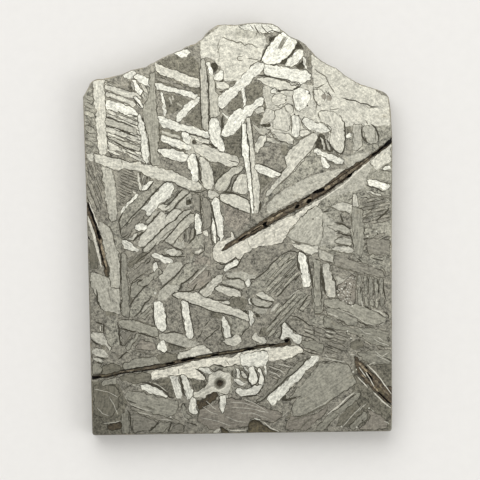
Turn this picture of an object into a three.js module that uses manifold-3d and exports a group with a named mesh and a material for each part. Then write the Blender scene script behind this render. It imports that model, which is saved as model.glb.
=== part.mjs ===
// Etched slice of an iron meteorite, one solid piece. Millimetres, +Z up.
// It lies on its back face at z = 0, and the etched front face is on top.
// +X is to the right and +Y is upwards for someone who looks down on the front face.
import * as THREE from "three";
import { mergeVertices } from "three/addons/utils/BufferGeometryUtils.js";
import Module from "manifold-3d";

// Driving dimensions
const THICKNESS = 3.0;
const EDGE_BREAK = 0.12;
const BAR_DEPTH = 0.1;
const FILL_DEPTH = 0.3;
const CREVICE_DEPTH = 0.9;
const SEAM_DEPTH = 0.35;
const STAIN_DEPTH = 0.18;
const CHIP_DEPTH = 0.45;
const NOTCH_DEPTH = 0.8;
const PIT_RADIUS = 0.48;
const PIT_FLOOR_RADIUS = 0.24;
const PIT_DEPTH = 0.5;
const PIT_SIDES = 14;

// The crystal plates run through the slice at a slant, so on the back they lie a little to one side
const BACK_SHIFT = [0.5, -0.35];

// How far a cutter stands out past the face that it cuts
const CUT_MARGIN = 0.4;

// Outline, clockwise from the bottom left corner: sawn left, bottom and right sides,
// and the uneven natural rim along the top
const OUTLINE = [
  [-16.2, -22.73], [-16.5, -22.4], [-16.73, -1.4], [-17.03, 14.5], [-17.05, 14.9], [-16.4, 16.0],
  [-16.25, 16.4], [-15.6, 16.85], [-14.0, 17.05], [-12.5, 17.5], [-11.5, 17.87], [-10.0, 18.15],
  [-9.5, 18.5], [-8.0, 19.2], [-6.0, 20.03], [-5.5, 20.37], [-4.6, 20.63], [-4.0, 20.97],
  [-3.7, 21.15], [-3.35, 21.7], [-2.9, 22.17], [-2.2, 22.6], [-1.45, 22.75], [0.0, 22.68],
  [2.0, 22.93], [4.0, 22.8], [4.7, 22.47], [5.3, 21.95], [6.25, 21.25], [7.4, 20.7],
  [8.0, 20.05], [9.0, 19.03], [10.0, 18.3], [11.15, 17.75], [12.05, 17.0], [13.4, 16.1],
  [15.6, 15.33], [16.35, 15.05], [16.95, 14.4], [17.15, 13.0], [17.3, 9.7], [17.07, -1.9],
  [16.87, -20.0], [16.8, -22.4], [16.5, -22.7],
];

// Low-nickel bars: the acid eats them a little deeper than the thin ribs between them
const BARS = [
  // Upper left
  [[-15.8, 16.5], [-15.5, 12.5], [-15.3, 8.8], [-14.65, 8.6], [-14.5, 12.5], [-14.75, 16.5]],
  [[-11.4, 17.1], [-10.9, 17.4], [-8.9, 16.2], [-9.0, 15.8], [-10.9, 16.6]],
  [[-14.3, 16.15], [-12.2, 15.5], [-10.9, 15.0], [-12.7, 15.05], [-14.3, 15.7]],
  [[-14.3, 15.4], [-12.7, 14.8], [-11.3, 14.25], [-11.4, 13.7], [-12.8, 14.3], [-14.3, 14.9]],
  [[-14.3, 14.5], [-12.0, 13.75], [-11.15, 13.3], [-11.2, 12.85], [-13.0, 13.25], [-14.3, 13.6]],
  [[-14.3, 12.5], [-12.4, 11.85], [-11.2, 11.3], [-11.2, 10.85], [-13.3, 11.5], [-14.3, 11.8]],
  [[-14.3, 11.45], [-12.0, 10.65], [-11.0, 10.35], [-11.05, 10.05], [-13.4, 10.75], [-14.3, 11.05]],
  [[-14.3, 10.45], [-13.0, 10.0], [-10.85, 9.15], [-10.85, 8.85], [-12.6, 9.4], [-14.1, 10.1]],
  [[-11.0, 12.85], [-10.65, 12.8], [-10.2, 10.9], [-9.85, 9.0], [-9.8, 7.75], [-10.1, 7.6], [-10.55, 8.5],
    [-10.6, 10.3]],
  [[-10.0, 13.8], [-9.1, 13.8], [-8.85, 12.0], [-8.85, 8.9], [-9.45, 8.1], [-9.6, 10.0], [-9.7, 12.0]],
  [[-8.9, 18.4], [-6.8, 17.65], [-4.1, 16.6], [-4.1, 15.85], [-6.8, 16.7], [-8.85, 17.6]],
  [[-8.8, 16.35], [-6.4, 15.6], [-4.3, 14.9], [-4.55, 14.5], [-7.2, 15.3], [-8.8, 15.85]],
  [[-3.8, 18.7], [-3.4, 18.7], [-3.2, 14.0], [-3.2, 11.0], [-3.75, 11.25], [-3.9, 14.0]],
  [[-2.9, 17.2], [-2.45, 17.0], [-2.4, 15.6], [-2.1, 14.8], [-2.05, 12.8], [-2.9, 12.5]],
  [[-2.5, 12.2], [-3.0, 11.4], [-3.0, 10.2], [-2.2, 9.15], [-1.45, 8.65], [-1.6, 9.9], [-1.9, 11.2]],
  [[-6.7, 12.2], [-6.3, 12.15], [-4.9, 13.4], [-4.15, 14.15], [-4.3, 14.45], [-5.3, 14.1]],
  [[-8.7, 12.7], [-5.8, 11.65], [-3.35, 10.75], [-3.35, 10.35], [-6.0, 10.95], [-8.3, 11.5]],
  [[-8.3, 10.5], [-6.0, 9.8], [-5.15, 9.35], [-5.15, 8.95], [-6.3, 9.1], [-8.35, 9.95]],
  [[-8.6, 8.95], [-7.1, 8.9], [-5.6, 8.2], [-5.75, 7.65], [-7.1, 7.8], [-8.5, 8.5]],
  [[-4.7, 9.35], [-3.3, 9.2], [-1.6, 8.4], [0.1, 7.8], [0.0, 7.15], [-0.7, 7.0], [-2.2, 7.5],
    [-3.6, 8.15]],
  // Top
  [[-1.85, 14.6], [-1.85, 13.65], [-1.1, 13.75], [0.4, 15.3], [3.0, 17.75], [2.5, 18.4], [0.0, 16.25],
    [-1.4, 15.2]],
  [[-1.6, 10.5], [-1.0, 12.25], [0.5, 13.35], [2.4, 14.35], [3.05, 14.4], [2.4, 13.55], [0.9, 12.25],
    [-0.35, 10.7]],
  [[3.15, 18.4], [5.2, 18.85], [6.5, 20.15], [6.7, 20.7], [5.2, 21.7], [3.9, 20.4], [3.0, 19.0]],
  [[3.2, 18.1], [6.35, 17.75], [8.3, 17.0], [7.15, 16.1], [4.6, 16.8], [3.1, 17.3]],
  [[2.4, 16.6], [4.2, 16.6], [6.1, 15.85], [6.3, 15.45], [4.7, 15.4], [3.1, 16.1]],
  [[5.6, 18.15], [6.8, 19.6], [7.45, 19.7], [7.3, 18.85], [6.4, 18.1]],
  // The long upright pair in the middle
  [[0.65, 11.5], [1.0, 11.5], [1.25, 9.0], [1.62, 3.6], [1.62, 1.9], [1.45, 1.95], [1.2, 4.8], [0.6, 8.2]],
  [[1.2, 12.1], [1.5, 12.1], [1.8, 9.2], [2.45, 5.0], [2.25, 1.8], [1.85, 1.8], [1.8, 5.6], [1.4, 9.0]],
  [[2.2, 7.05], [3.4, 6.75], [4.75, 6.1], [4.0, 5.7], [2.6, 6.15]],
  // Upper right
  [[10.2, 9.7], [11.5, 8.3], [11.9, 9.6], [11.85, 11.3], [11.2, 11.6], [10.4, 11.1]],
  [[8.6, 8.7], [10.8, 8.0], [11.8, 7.5], [11.2, 7.15], [9.9, 7.95], [8.6, 8.45]],
  [[9.35, 7.75], [9.65, 7.7], [10.2, 6.8], [9.7, 6.7]],
  [[14.95, 7.25], [16.4, 8.4], [16.9, 8.7], [16.9, 7.3], [15.6, 6.4]],
  [[14.5, 5.2], [15.2, 5.3], [16.8, 4.7], [16.8, 4.25], [15.7, 4.35], [14.5, 4.85]],
  [[10.4, 2.4], [11.5, 2.75], [12.3, 2.7], [12.65, 2.3], [12.3, 1.65], [10.9, 2.15]],
  [[9.9, 0.2], [11.6, 0.3], [12.45, -0.25], [12.4, -0.6], [10.5, -0.15]],
  [[10.75, -1.4], [12.0, -1.15], [12.6, -1.75], [10.85, -1.7]],
  [[10.5, -2.15], [12.5, -2.2], [12.7, -2.75], [10.4, -2.4]],
  // Middle left
  [[-15.9, 8.5], [-13.0, 7.9], [-9.6, 7.2], [-6.9, 6.35], [-4.5, 5.15], [-4.3, 4.5], [-5.9, 4.75],
    [-7.3, 5.45], [-9.35, 5.75], [-11.1, 6.65], [-13.0, 6.85], [-15.9, 7.9]],
  [[-15.0, 7.1], [-14.7, 4.0], [-14.2, 1.2], [-13.55, 1.1], [-13.5, 4.5], [-13.8, 6.4], [-14.15, 6.85]],
  [[-10.5, 2.25], [-9.1, 4.0], [-7.9, 5.15], [-7.1, 4.95], [-7.8, 3.4], [-9.2, 2.4], [-9.8, 1.65],
    [-10.4, 1.85]],
  [[-13.1, 1.0], [-11.0, 3.7], [-9.3, 5.2], [-8.6, 5.05], [-9.7, 4.0], [-10.75, 2.75], [-12.9, 0.4]],
  [[-5.45, 7.6], [-5.0, 8.2], [-4.75, 8.1], [-4.4, 5.65], [-4.75, 5.6], [-5.25, 6.7]],
  [[-4.15, 8.1], [-3.25, 7.5], [-2.7, 5.5], [-2.9, 4.6], [-3.7, 4.7], [-4.0, 7.0]],
  [[-0.7, 6.7], [0.3, 6.9], [-0.75, 5.55], [-1.2, 4.5], [-2.4, 4.4], [-1.9, 5.75]],
  [[0.1, 5.85], [0.9, 5.9], [1.0, 4.15], [-0.45, 4.25], [-0.3, 5.1]],
  [[-1.8, 3.8], [0.0, 3.7], [1.2, 2.9], [1.25, 2.0], [-0.9, 2.7], [-1.8, 3.25]],
  [[-2.75, 3.1], [-2.2, 3.4], [-1.8, 1.6], [-1.7, -0.8], [-2.15, -0.9], [-2.35, 0.2], [-2.85, 2.6]],
  [[-5.5, 4.2], [-6.05, 4.25], [-8.05, 2.4], [-7.5, 2.25], [-5.5, 3.9]],
  [[-8.5, 2.0], [-7.0, 2.2], [-6.8, 1.7], [-7.6, 0.9], [-8.6, 0.08], [-9.6, -0.9], [-10.5, -1.75],
    [-10.9, -1.4], [-10.1, 0.3], [-9.4, 1.1]],
  [[-5.4, 2.1], [-6.4, 1.6], [-7.4, 0.65], [-8.4, -0.15], [-9.4, -1.12], [-10.3, -2.0], [-10.2, -2.3],
    [-8.7, -1.35], [-7.65, -0.35], [-6.9, 0.48], [-6.1, 1.35], [-5.4, 1.85]],
  [[-5.05, 1.8], [-5.0, 1.0], [-6.2, -0.3], [-7.2, -1.45], [-8.0, -1.1], [-7.4, -0.45], [-6.7, 0.33],
    [-5.9, 1.15]],
  [[-4.6, 1.7], [-4.3, 1.7], [-4.0, 0.3], [-4.1, -0.4], [-4.65, -0.5], [-4.75, 0.9]],
  [[-15.2, 0.8], [-14.4, 0.4], [-13.9, -1.2], [-13.2, -4.0], [-13.25, -6.2], [-14.3, -6.1], [-14.5, -4.0],
    [-15.0, -1.4]],
  [[-11.4, 0.4], [-10.8, 0.75], [-10.2, 0.4], [-10.7, -0.05]],
  [[-12.8, -1.2], [-12.05, -1.3], [-11.1, -2.1], [-11.4, -2.25], [-12.7, -1.9]],
  [[-9.5, -2.65], [-8.3, -2.9], [-7.3, -3.35], [-7.8, -3.7], [-8.8, -3.35]],
  [[-9.3, -3.65], [-9.05, -3.75], [-9.0, -5.0], [-9.4, -4.9]],
  [[-8.2, -2.3], [-7.4, -2.05], [-6.3, -2.4], [-7.2, -2.8], [-8.0, -2.7]],
  // The bright rim of metal that lines the long fissure, and what lies under it
  [[-2.6, -2.1], [-1.5, -1.3], [-0.6, -0.8], [1.2, -0.75], [3.3, 0.1], [5.0, 1.0], [7.0, 1.9], [9.0, 3.1],
    [8.0, 2.3], [7.0, 1.35], [5.6, -0.2], [4.8, -1.5], [2.7, -1.9], [1.0, -2.5], [0.1, -3.25], [-0.9, -3.45],
    [-2.5, -3.5]],
  [[-1.6, -4.5], [-0.4, -3.55], [-0.1, -3.75], [-0.8, -4.25]],
  [[5.9, -0.3], [7.2, 1.1], [8.8, 2.2], [9.3, 1.4], [9.2, -1.0], [8.9, -1.8], [7.0, -1.6], [5.8, -1.0]],
  [[6.1, -1.9], [7.0, -2.35], [8.0, -2.9], [8.7, -2.7], [8.7, -2.05], [7.0, -1.85]],
  [[6.75, -2.75], [7.05, -2.7], [7.5, -3.4], [7.9, -5.2], [7.95, -6.4], [7.2, -6.4], [6.95, -4.6]],
  [[9.4, -4.1], [9.9, -4.0], [10.3, -5.3], [10.7, -6.3], [10.7, -7.6], [9.9, -7.5], [9.5, -5.8]],
  // Lower middle
  [[-9.4, -8.3], [-8.7, -8.0], [-8.3, -8.7], [-8.2, -11.0], [-8.8, -11.05], [-9.4, -10.1]],
  [[-6.3, -8.0], [-5.8, -8.1], [-5.4, -10.2], [-5.2, -12.0], [-5.9, -11.8], [-6.2, -9.8]],
  [[-7.3, -7.3], [-6.3, -7.0], [-4.8, -7.05], [-3.9, -7.65], [-1.9, -8.3], [0.0, -9.0], [1.0, -10.1],
    [-0.7, -9.55], [-2.8, -9.1], [-4.8, -8.25], [-6.4, -7.6]],
  [[-4.3, -7.0], [-3.3, -6.0], [-1.9, -5.05], [-2.0, -5.9], [-3.2, -7.25], [-3.9, -7.3]],
  [[-2.5, -6.45], [-0.8, -6.65], [0.15, -7.3], [-1.1, -7.35], [-2.5, -6.8]],
  [[-1.7, -5.7], [0.3, -5.8], [0.7, -6.4], [-0.5, -6.35], [-1.7, -5.95]],
  [[1.1, -9.1], [1.5, -9.3], [1.6, -10.5], [1.3, -10.7]],
  [[2.1, -7.2], [2.8, -7.15], [3.9, -7.95], [2.5, -7.65]],
  [[1.5, -7.8], [2.3, -7.9], [3.65, -8.35], [3.2, -8.65], [1.6, -8.35]],
  [[-1.75, -9.85], [-1.15, -10.8], [-1.1, -11.9], [-1.6, -12.0], [-1.85, -10.8]],
  [[-1.7, -12.5], [-0.4, -11.8], [0.3, -12.3], [-0.1, -12.85], [-1.4, -12.8]],
  [[4.9, -10.5], [5.4, -10.9], [6.7, -11.95], [6.8, -12.7], [6.0, -12.6], [5.3, -12.1], [4.6, -12.3],
    [4.75, -11.1]],
  [[-13.3, -10.1], [-11.2, -10.2], [-9.2, -11.0], [-9.1, -11.7], [-10.8, -11.35], [-12.8, -10.85]],
  [[-16.2, -11.3], [-15.3, -11.4], [-14.8, -12.2], [-14.4, -13.2], [-15.0, -12.65], [-16.1, -12.1]],
  [[-12.9, -14.8], [-11.0, -14.25], [-9.3, -14.1], [-8.9, -14.7], [-11.0, -15.3], [-12.9, -15.4]],
  [[-9.05, -12.5], [-8.4, -12.4], [-8.2, -13.3], [-8.6, -13.5], [-9.0, -13.2]],
  [[-6.8, -14.2], [-6.6, -13.6], [-4.8, -12.95], [-3.9, -12.9], [-3.2, -13.7], [-5.2, -14.0]],
  // The bright band under the lower fissure and the fingers that hang from it
  [[-9.8, -15.95], [-8.5, -15.55], [-5.9, -14.95], [-1.8, -14.25], [-1.1, -15.1], [-3.0, -15.0],
    [-5.2, -15.5], [-4.3, -16.1], [-4.1, -16.65], [-6.2, -16.05], [-8.2, -16.25], [-9.7, -16.6]],
  [[-0.1, -14.0], [1.8, -13.5], [5.9, -13.2], [7.0, -13.65], [4.9, -14.6], [3.2, -14.6], [2.3, -15.2],
    [0.3, -15.0]],
  [[-6.45, -16.3], [-5.9, -16.5], [-5.2, -18.3], [-5.9, -18.8], [-6.25, -17.2]],
  [[-7.65, -16.45], [-7.0, -16.45], [-6.55, -18.2], [-6.7, -18.75], [-7.3, -18.0]],
  [[-11.1, -17.35], [-9.7, -17.35], [-8.1, -18.45], [-9.3, -18.25], [-10.6, -17.85]],
  [[-3.5, -16.9], [-2.5, -15.9], [-1.2, -16.1], [-1.05, -17.1], [-1.4, -18.2], [-3.1, -18.0],
    [-5.0, -18.5], [-4.6, -18.0], [-3.7, -17.5]],
  [[-0.85, -16.75], [0.3, -17.05], [2.5, -17.4], [1.9, -18.2], [0.1, -18.4], [-0.85, -17.8]],
  [[1.05, -15.55], [1.5, -15.5], [1.85, -16.9], [1.1, -16.95]],
  [[1.8, -15.5], [2.25, -15.5], [2.6, -16.95], [2.25, -17.1]],
  [[8.1, -14.3], [6.2, -16.05], [3.0, -19.0], [3.4, -19.6], [4.7, -18.5], [7.1, -15.6], [8.6, -14.9],
    [8.7, -14.2]],
];

// Fissures that weathering has filled with brown oxide, as closed outlines
const FILLED = [
  [[17.7, 10.3], [16.2, 9.2], [14.9, 8.15], [13.0, 7.3], [11.6, 6.4], [10.4, 5.25], [8.9, 4.0],
    [7.6, 3.6], [6.0, 2.8], [3.9, 1.8], [3.0, 1.0], [1.3, -0.25], [-0.4, -1.2], [-1.5, -2.0], [-1.95, -2.5],
    [-1.2, -2.1], [0.4, -1.3], [2.0, -0.6], [4.0, 0.4], [6.2, 1.5], [8.2, 2.8], [9.9, 3.8], [11.8, 5.0],
    [13.4, 6.5], [14.9, 7.7], [16.6, 8.9], [17.7, 9.6]],
  [[12.7, -14.3], [13.5, -15.0], [14.3, -15.7], [16.1, -17.6], [16.8, -17.6], [16.7, -19.6],
    [16.2, -19.4], [14.8, -18.1], [13.1, -16.3], [13.0, -15.6]],
  [[-0.9, -13.35], [1.0, -13.1], [1.9, -12.8], [4.9, -12.5], [5.9, -12.95], [3.0, -13.2], [-1.0, -13.75]],
];

// Open crevices, as centre lines with a width
const CREVICES = [
  [0.4, [[17.7, 10.15], [17.1, 9.6], [16.3, 8.9]]],
  [0.4, [[9.7, 4.35], [8.3, 3.85]]],
  [0.45, [[8.2, 3.2], [7.7, 2.8]]],
  [0.35, [[6.85, 2.6], [6.3, 2.2]]],
  [0.35, [[12.8, 6.0], [12.2, 5.6]]],
  [0.3, [[3.25, 0.75], [2.8, 0.45], [3.3, 0.25]]],
  [0.25, [[1.0, -0.65], [0.0, -1.3]]],
  [0.22, [[-17.2, 3.4], [-16.6, 2.9], [-16.1, 1.5], [-15.7, 0.2]]],
  [0.32, [[-15.7, 0.2], [-15.45, -0.5], [-15.35, -1.0]]],
  [0.35, [[-16.35, -16.2], [-15.95, -16.2]]],
  [0.2, [[14.2, -16.1], [14.7, -17.0]]],
  [0.18, [[15.3, -18.3], [16.1, -19.1], [16.6, -19.7]]],
];

// Narrow dark seams, as centre lines with a width
const SEAMS = [
  [0.2, [[-15.1, -16.35], [-14.0, -16.1], [-13.0, -15.95]]],
  [0.2, [[-12.0, -15.6], [-11.0, -15.6], [-9.8, -15.4], [-7.3, -14.9], [-5.3, -14.4], [-2.2, -13.8],
    [0.0, -13.55], [2.1, -13.05], [5.0, -12.8]]],
  [0.18, [[-15.4, -1.2], [-15.1, -2.5], [-14.5, -3.8], [-14.5, -5.0]]],
  [0.2, [[-10.9, -16.9], [-9.8, -17.05], [-8.9, -17.6], [-7.9, -18.55], [-7.3, -18.65]]],
  [0.2, [[7.6, -14.6], [6.3, -15.75], [4.6, -17.2], [3.0, -18.6]]],
  [0.2, [[10.4, -18.9], [8.7, -20.0], [6.5, -21.1], [5.4, -21.4]]],
  [0.2, [[12.25, -20.8], [10.9, -19.9], [11.8, -19.0], [13.1, -18.2]]],
  [0.25, [[9.25, -4.2], [9.25, -5.6], [9.5, -7.3]]],
  [0.2, [[13.9, 10.95], [13.95, 10.1], [14.5, 9.35]]],
  [0.2, [[14.9, 11.5], [15.4, 11.1], [15.75, 10.1], [15.7, 9.5]]],
  [0.2, [[16.8, 2.15], [16.3, 1.5], [15.4, 0.75]]],
  [0.15, [[11.65, 14.45], [13.3, 14.05], [14.5, 13.7], [15.8, 13.35]]],
];

// Rusted hollows and the brown inclusion beside the pit
const STAINS = [
  [[-4.85, -19.1], [-3.9, -18.8], [-3.6, -18.4], [-2.7, -18.05], [-2.4, -18.6], [-3.5, -19.4],
    [-4.2, -19.8], [-4.6, -20.0]],
  [[-14.9, -21.7], [-13.3, -21.2], [-13.3, -22.0], [-14.5, -22.2]],
  [[4.9, -12.35], [5.6, -12.15], [5.7, -12.75], [5.1, -12.7]],
];

// The chip and the notch in the bottom edge
const CHIP = [[0.7, -23.0], [0.8, -21.9], [1.3, -21.2], [1.8, -21.2], [2.7, -21.9], [4.3, -22.75], [4.3, -23.0]];
const NOTCH = [[-2.3, -22.0], [-2.0, -22.1], [-1.3, -22.6], [-1.3, -23.0], [-2.2, -23.0], [-2.1, -22.4]];

// The small round pit in its bright halo
const PIT_CENTRE = [-2.25, -17.1];

const xs = OUTLINE.map((point) => point[0]);
const ys = OUTLINE.map((point) => point[1]);
const CENTRE_X = (Math.min(...xs) + Math.max(...xs)) / 2;
const CENTRE_Y = (Math.min(...ys) + Math.max(...ys)) / 2;

const wasm = await Module();
wasm.setup();

// Points as vectors about the middle of the slice, anticlockwise
function placed(points, shift = [0, 0]) {
  const ring = points.map(
    ([x, y]) => new THREE.Vector2(x - CENTRE_X + shift[0], y - CENTRE_Y + shift[1]),
  );
  if (THREE.ShapeUtils.area(ring) < 0) {
    ring.reverse();
  }
  return ring;
}

// Each corner of a ring moved inwards by a distance
function inset(ring, distance) {
  return ring.map((corner, i) => {
    const before = corner.clone().sub(ring[(i + ring.length - 1) % ring.length]).normalize();
    const after = ring[(i + 1) % ring.length].clone().sub(corner).normalize();
    const inward = new THREE.Vector2(-before.y - after.y, before.x + after.x).normalize();
    const cosHalf = Math.max(0.5, -before.y * inward.x + before.x * inward.y);
    return corner.clone().addScaledVector(inward, distance / cosHalf);
  });
}

// A closed solid through rings that have the same number of corners, from the lowest ring up
function solidThrough(rings, heights) {
  const count = rings[0].length;
  const positions = [];
  rings.forEach((ring, k) => ring.forEach((corner) => positions.push(corner.x, corner.y, heights[k])));
  const index = [];
  const last = (rings.length - 1) * count;
  for (const [a, b, c] of THREE.ShapeUtils.triangulateShape(rings[0], [])) {
    index.push(a, c, b);
  }
  for (const [a, b, c] of THREE.ShapeUtils.triangulateShape(rings[rings.length - 1], [])) {
    index.push(last + a, last + b, last + c);
  }
  for (let k = 0; k + 1 < rings.length; k += 1) {
    for (let i = 0; i < count; i += 1) {
      const a = k * count + i;
      const b = k * count + ((i + 1) % count);
      index.push(a, b, b + count, a, b + count, a + count);
    }
  }
  const geometry = new THREE.BufferGeometry();
  geometry.setAttribute("position", new THREE.Float32BufferAttribute(positions, 3));
  geometry.setIndex(index);
  return toManifold(mergeVertices(geometry));
}

function toManifold(geometry) {
  return new wasm.Manifold(
    new wasm.Mesh({
      numProp: 3,
      vertProperties: new Float32Array(geometry.attributes.position.array),
      triVerts: new Uint32Array(geometry.index.array),
    }),
  );
}

// The outline of a band of one width along a centre line
function band(width, line) {
  const path = line.map(([x, y]) => new THREE.Vector2(x, y));
  const left = [];
  const right = [];
  path.forEach((point, i) => {
    const ahead = path[Math.min(i + 1, path.length - 1)];
    const behind = path[Math.max(i - 1, 0)];
    const along = ahead.clone().sub(behind).normalize();
    left.push([point.x - (along.y * width) / 2, point.y + (along.x * width) / 2]);
    right.unshift([point.x + (along.y * width) / 2, point.y - (along.x * width) / 2]);
  });
  return [...left, ...right];
}

// The same outline sunk into the front face and, a little to one side, into the back face
function sunkBothSides(points, depth) {
  const front = placed(points);
  const back = placed(points, BACK_SHIFT);
  return solidThrough([front, front], [THICKNESS - depth, THICKNESS + CUT_MARGIN]).add(
    solidThrough([back, back], [-CUT_MARGIN, depth]),
  );
}

function pitCutter() {
  const circle = (radius) =>
    Array.from({ length: PIT_SIDES }, (unused, i) => {
      const angle = (i / PIT_SIDES) * Math.PI * 2;
      return [PIT_CENTRE[0] + Math.cos(angle) * radius, PIT_CENTRE[1] + Math.sin(angle) * radius];
    });
  const flare = (PIT_RADIUS - PIT_FLOOR_RADIUS) / PIT_DEPTH;
  return solidThrough(
    [placed(circle(PIT_FLOOR_RADIUS)), placed(circle(PIT_RADIUS + flare * CUT_MARGIN))],
    [THICKNESS - PIT_DEPTH, THICKNESS + CUT_MARGIN],
  );
}

function buildSlice() {
  const rim = placed(OUTLINE);
  const face = inset(rim, EDGE_BREAK);
  let slice = solidThrough([face, rim, rim, face], [0, EDGE_BREAK, THICKNESS - EDGE_BREAK, THICKNESS]);
  for (const bar of BARS) {
    slice = slice.subtract(sunkBothSides(bar, BAR_DEPTH));
  }
  for (const [width, line] of SEAMS) {
    slice = slice.subtract(sunkBothSides(band(width, line), SEAM_DEPTH));
  }
  for (const outline of FILLED) {
    slice = slice.subtract(sunkBothSides(outline, FILL_DEPTH));
  }
  for (const [width, line] of CREVICES) {
    slice = slice.subtract(sunkBothSides(band(width, line), CREVICE_DEPTH));
  }
  for (const outline of STAINS) {
    slice = slice.subtract(sunkBothSides(outline, STAIN_DEPTH));
  }
  const chip = placed(CHIP);
  const notch = placed(NOTCH);
  slice = slice.subtract(solidThrough([chip, chip], [THICKNESS - CHIP_DEPTH, THICKNESS + CUT_MARGIN]));
  slice = slice.subtract(solidThrough([notch, notch], [THICKNESS - NOTCH_DEPTH, THICKNESS + CUT_MARGIN]));
  return slice.subtract(pitCutter());
}

function toMesh(name, solid, material) {
  const { vertProperties, triVerts } = solid.getMesh();
  const geometry = new THREE.BufferGeometry();
  geometry.setAttribute("position", new THREE.Float32BufferAttribute(vertProperties, 3));
  geometry.setIndex(new THREE.Uint32BufferAttribute(triVerts, 1));
  geometry.computeVertexNormals();
  const mesh = new THREE.Mesh(geometry, material);
  mesh.name = name;
  return mesh;
}

const etchedIron = new THREE.MeshStandardMaterial({ color: 0xb4b2a6, metalness: 0.9, roughness: 0.45 });

const group = new THREE.Group();
group.name = "iron_meteorite_slice";
group.add(toMesh("meteorite_slice", buildSlice(), etchedIron));

export default group;
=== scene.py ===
"""Etched slice of an iron meteorite: bright bars, dull fields and weathered fissures on a pale floor."""
import math
import random

import bpy
import numpy as np
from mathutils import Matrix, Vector, noise
from mathutils.geometry import delaunay_2d_cdt


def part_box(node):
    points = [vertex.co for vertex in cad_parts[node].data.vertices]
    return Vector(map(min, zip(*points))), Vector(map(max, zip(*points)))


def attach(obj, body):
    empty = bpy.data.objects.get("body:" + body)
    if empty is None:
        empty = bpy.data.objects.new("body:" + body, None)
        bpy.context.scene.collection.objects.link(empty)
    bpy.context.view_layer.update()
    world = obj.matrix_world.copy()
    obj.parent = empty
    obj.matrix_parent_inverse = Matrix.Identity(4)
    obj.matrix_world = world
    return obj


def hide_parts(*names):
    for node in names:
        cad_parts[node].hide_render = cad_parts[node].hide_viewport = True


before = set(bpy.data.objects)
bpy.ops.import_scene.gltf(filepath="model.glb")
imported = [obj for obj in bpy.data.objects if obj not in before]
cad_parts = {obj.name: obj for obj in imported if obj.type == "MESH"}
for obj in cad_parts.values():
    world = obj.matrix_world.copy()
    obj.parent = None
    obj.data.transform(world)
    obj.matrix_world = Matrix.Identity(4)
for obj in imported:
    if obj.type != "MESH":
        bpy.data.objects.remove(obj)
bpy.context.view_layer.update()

NODE = "meteorite_slice"
LOW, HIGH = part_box(NODE)
MM = 0.001
THICKNESS = (HIGH[2] - LOW[2]) / MM

# The middle of the slice's box in the coordinates of the lists below, which are in millimetres,
# +X to the right and +Y up on the etched front face
CENTRE = (0.125, 0.1)

# The crystal plates run through the slice at a slant, so on the back they lie a little to one side
BACK_SHIFT = (0.5, -0.35)

# Photograph: 480 pixels square, 9 pixels to the millimetre, its middle on this point of the front face
VIEW_WIDTH = 480 / 9.0
VIEW_MIDDLE = (0.206, -1.225)
VIEW_ROLL = math.radians(-0.77)
CAMERA_HEIGHT = 400.0
SENSOR = 36.0

# Relief, in millimetres below the face
BAR_DEPTH = 0.03
SEAM_DEPTH = 0.07
EDGE_INSET = 0.12

# Width of the dark rim around each bar, how much of a corner is cut, and the tone of the ground under it all
RIM_WIDTH = 0.06
CORNER_CUT = 0.12
GROUND = "G"

# Colours as they look on the slice: red, green and blue out of 255. How bright a bar or field is comes partly
# from the etch itself and partly from painted sheen, each crystal plate's reflection of the light fixed as
# colour
TONES = {
    "W": (221, 220, 208),
    "L": (200, 198, 185),
    "P": (180, 178, 165),
    "M": (158, 156, 143),
    "G": (145, 142, 130),
    "D": (123, 120, 107),
    "K": (78, 75, 64),
    "C": (216, 213, 199),
    "B": (128, 117, 96),
    "E": (149, 147, 134),
    "R": (148, 143, 131),
    "O": (76, 66, 50),
    "I": (62, 54, 38),
    "V": (84, 77, 58),
    "X": (22, 17, 11),
}

# How much of the light each kind of place gives back as metal
METALNESS = {"B": 0.15, "O": 0.05, "I": 0.0, "V": 0.3, "X": 0.0}

OUTLINE = """
-16.2,-22.72 -16.42,-22.64 -16.5,-22.45 -16.73,-1.4 -17.03,14.5 -17.05,14.9 -16.7,15.5 -16.4,16
-16.25,16.4 -15.95,16.7 -15.6,16.85 -15,16.9 -14,17.05 -13,17.3 -12,17.67 -11.5,17.87 -10,18.15
-9.5,18.5 -8.5,18.95 -7.5,19.45 -6,20.03 -5.5,20.37 -4.6,20.63 -4,20.97 -3.7,21.15 -3.35,21.7
-2.9,22.17 -2.2,22.6 -1.9,22.7 -1.45,22.75 0,22.68 1,22.83 2,22.93 3,22.9 4,22.8 4.7,22.47 5.3,21.95
5.9,21.5 6.25,21.25 7,20.93 7.7,20.47 8.5,19.57 9,19.03 9.5,18.6 10.35,18.1 11.15,17.75 12.05,17
12.55,16.65 13.4,16.1 14.5,15.67 15.6,15.33 16.35,15.05 16.7,14.8 16.95,14.4 17.05,13.8 17.15,13
17.3,9.7 17.07,-1.9 16.87,-20 16.8,-22.4 16.72,-22.62 16.5,-22.7
"""

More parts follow.
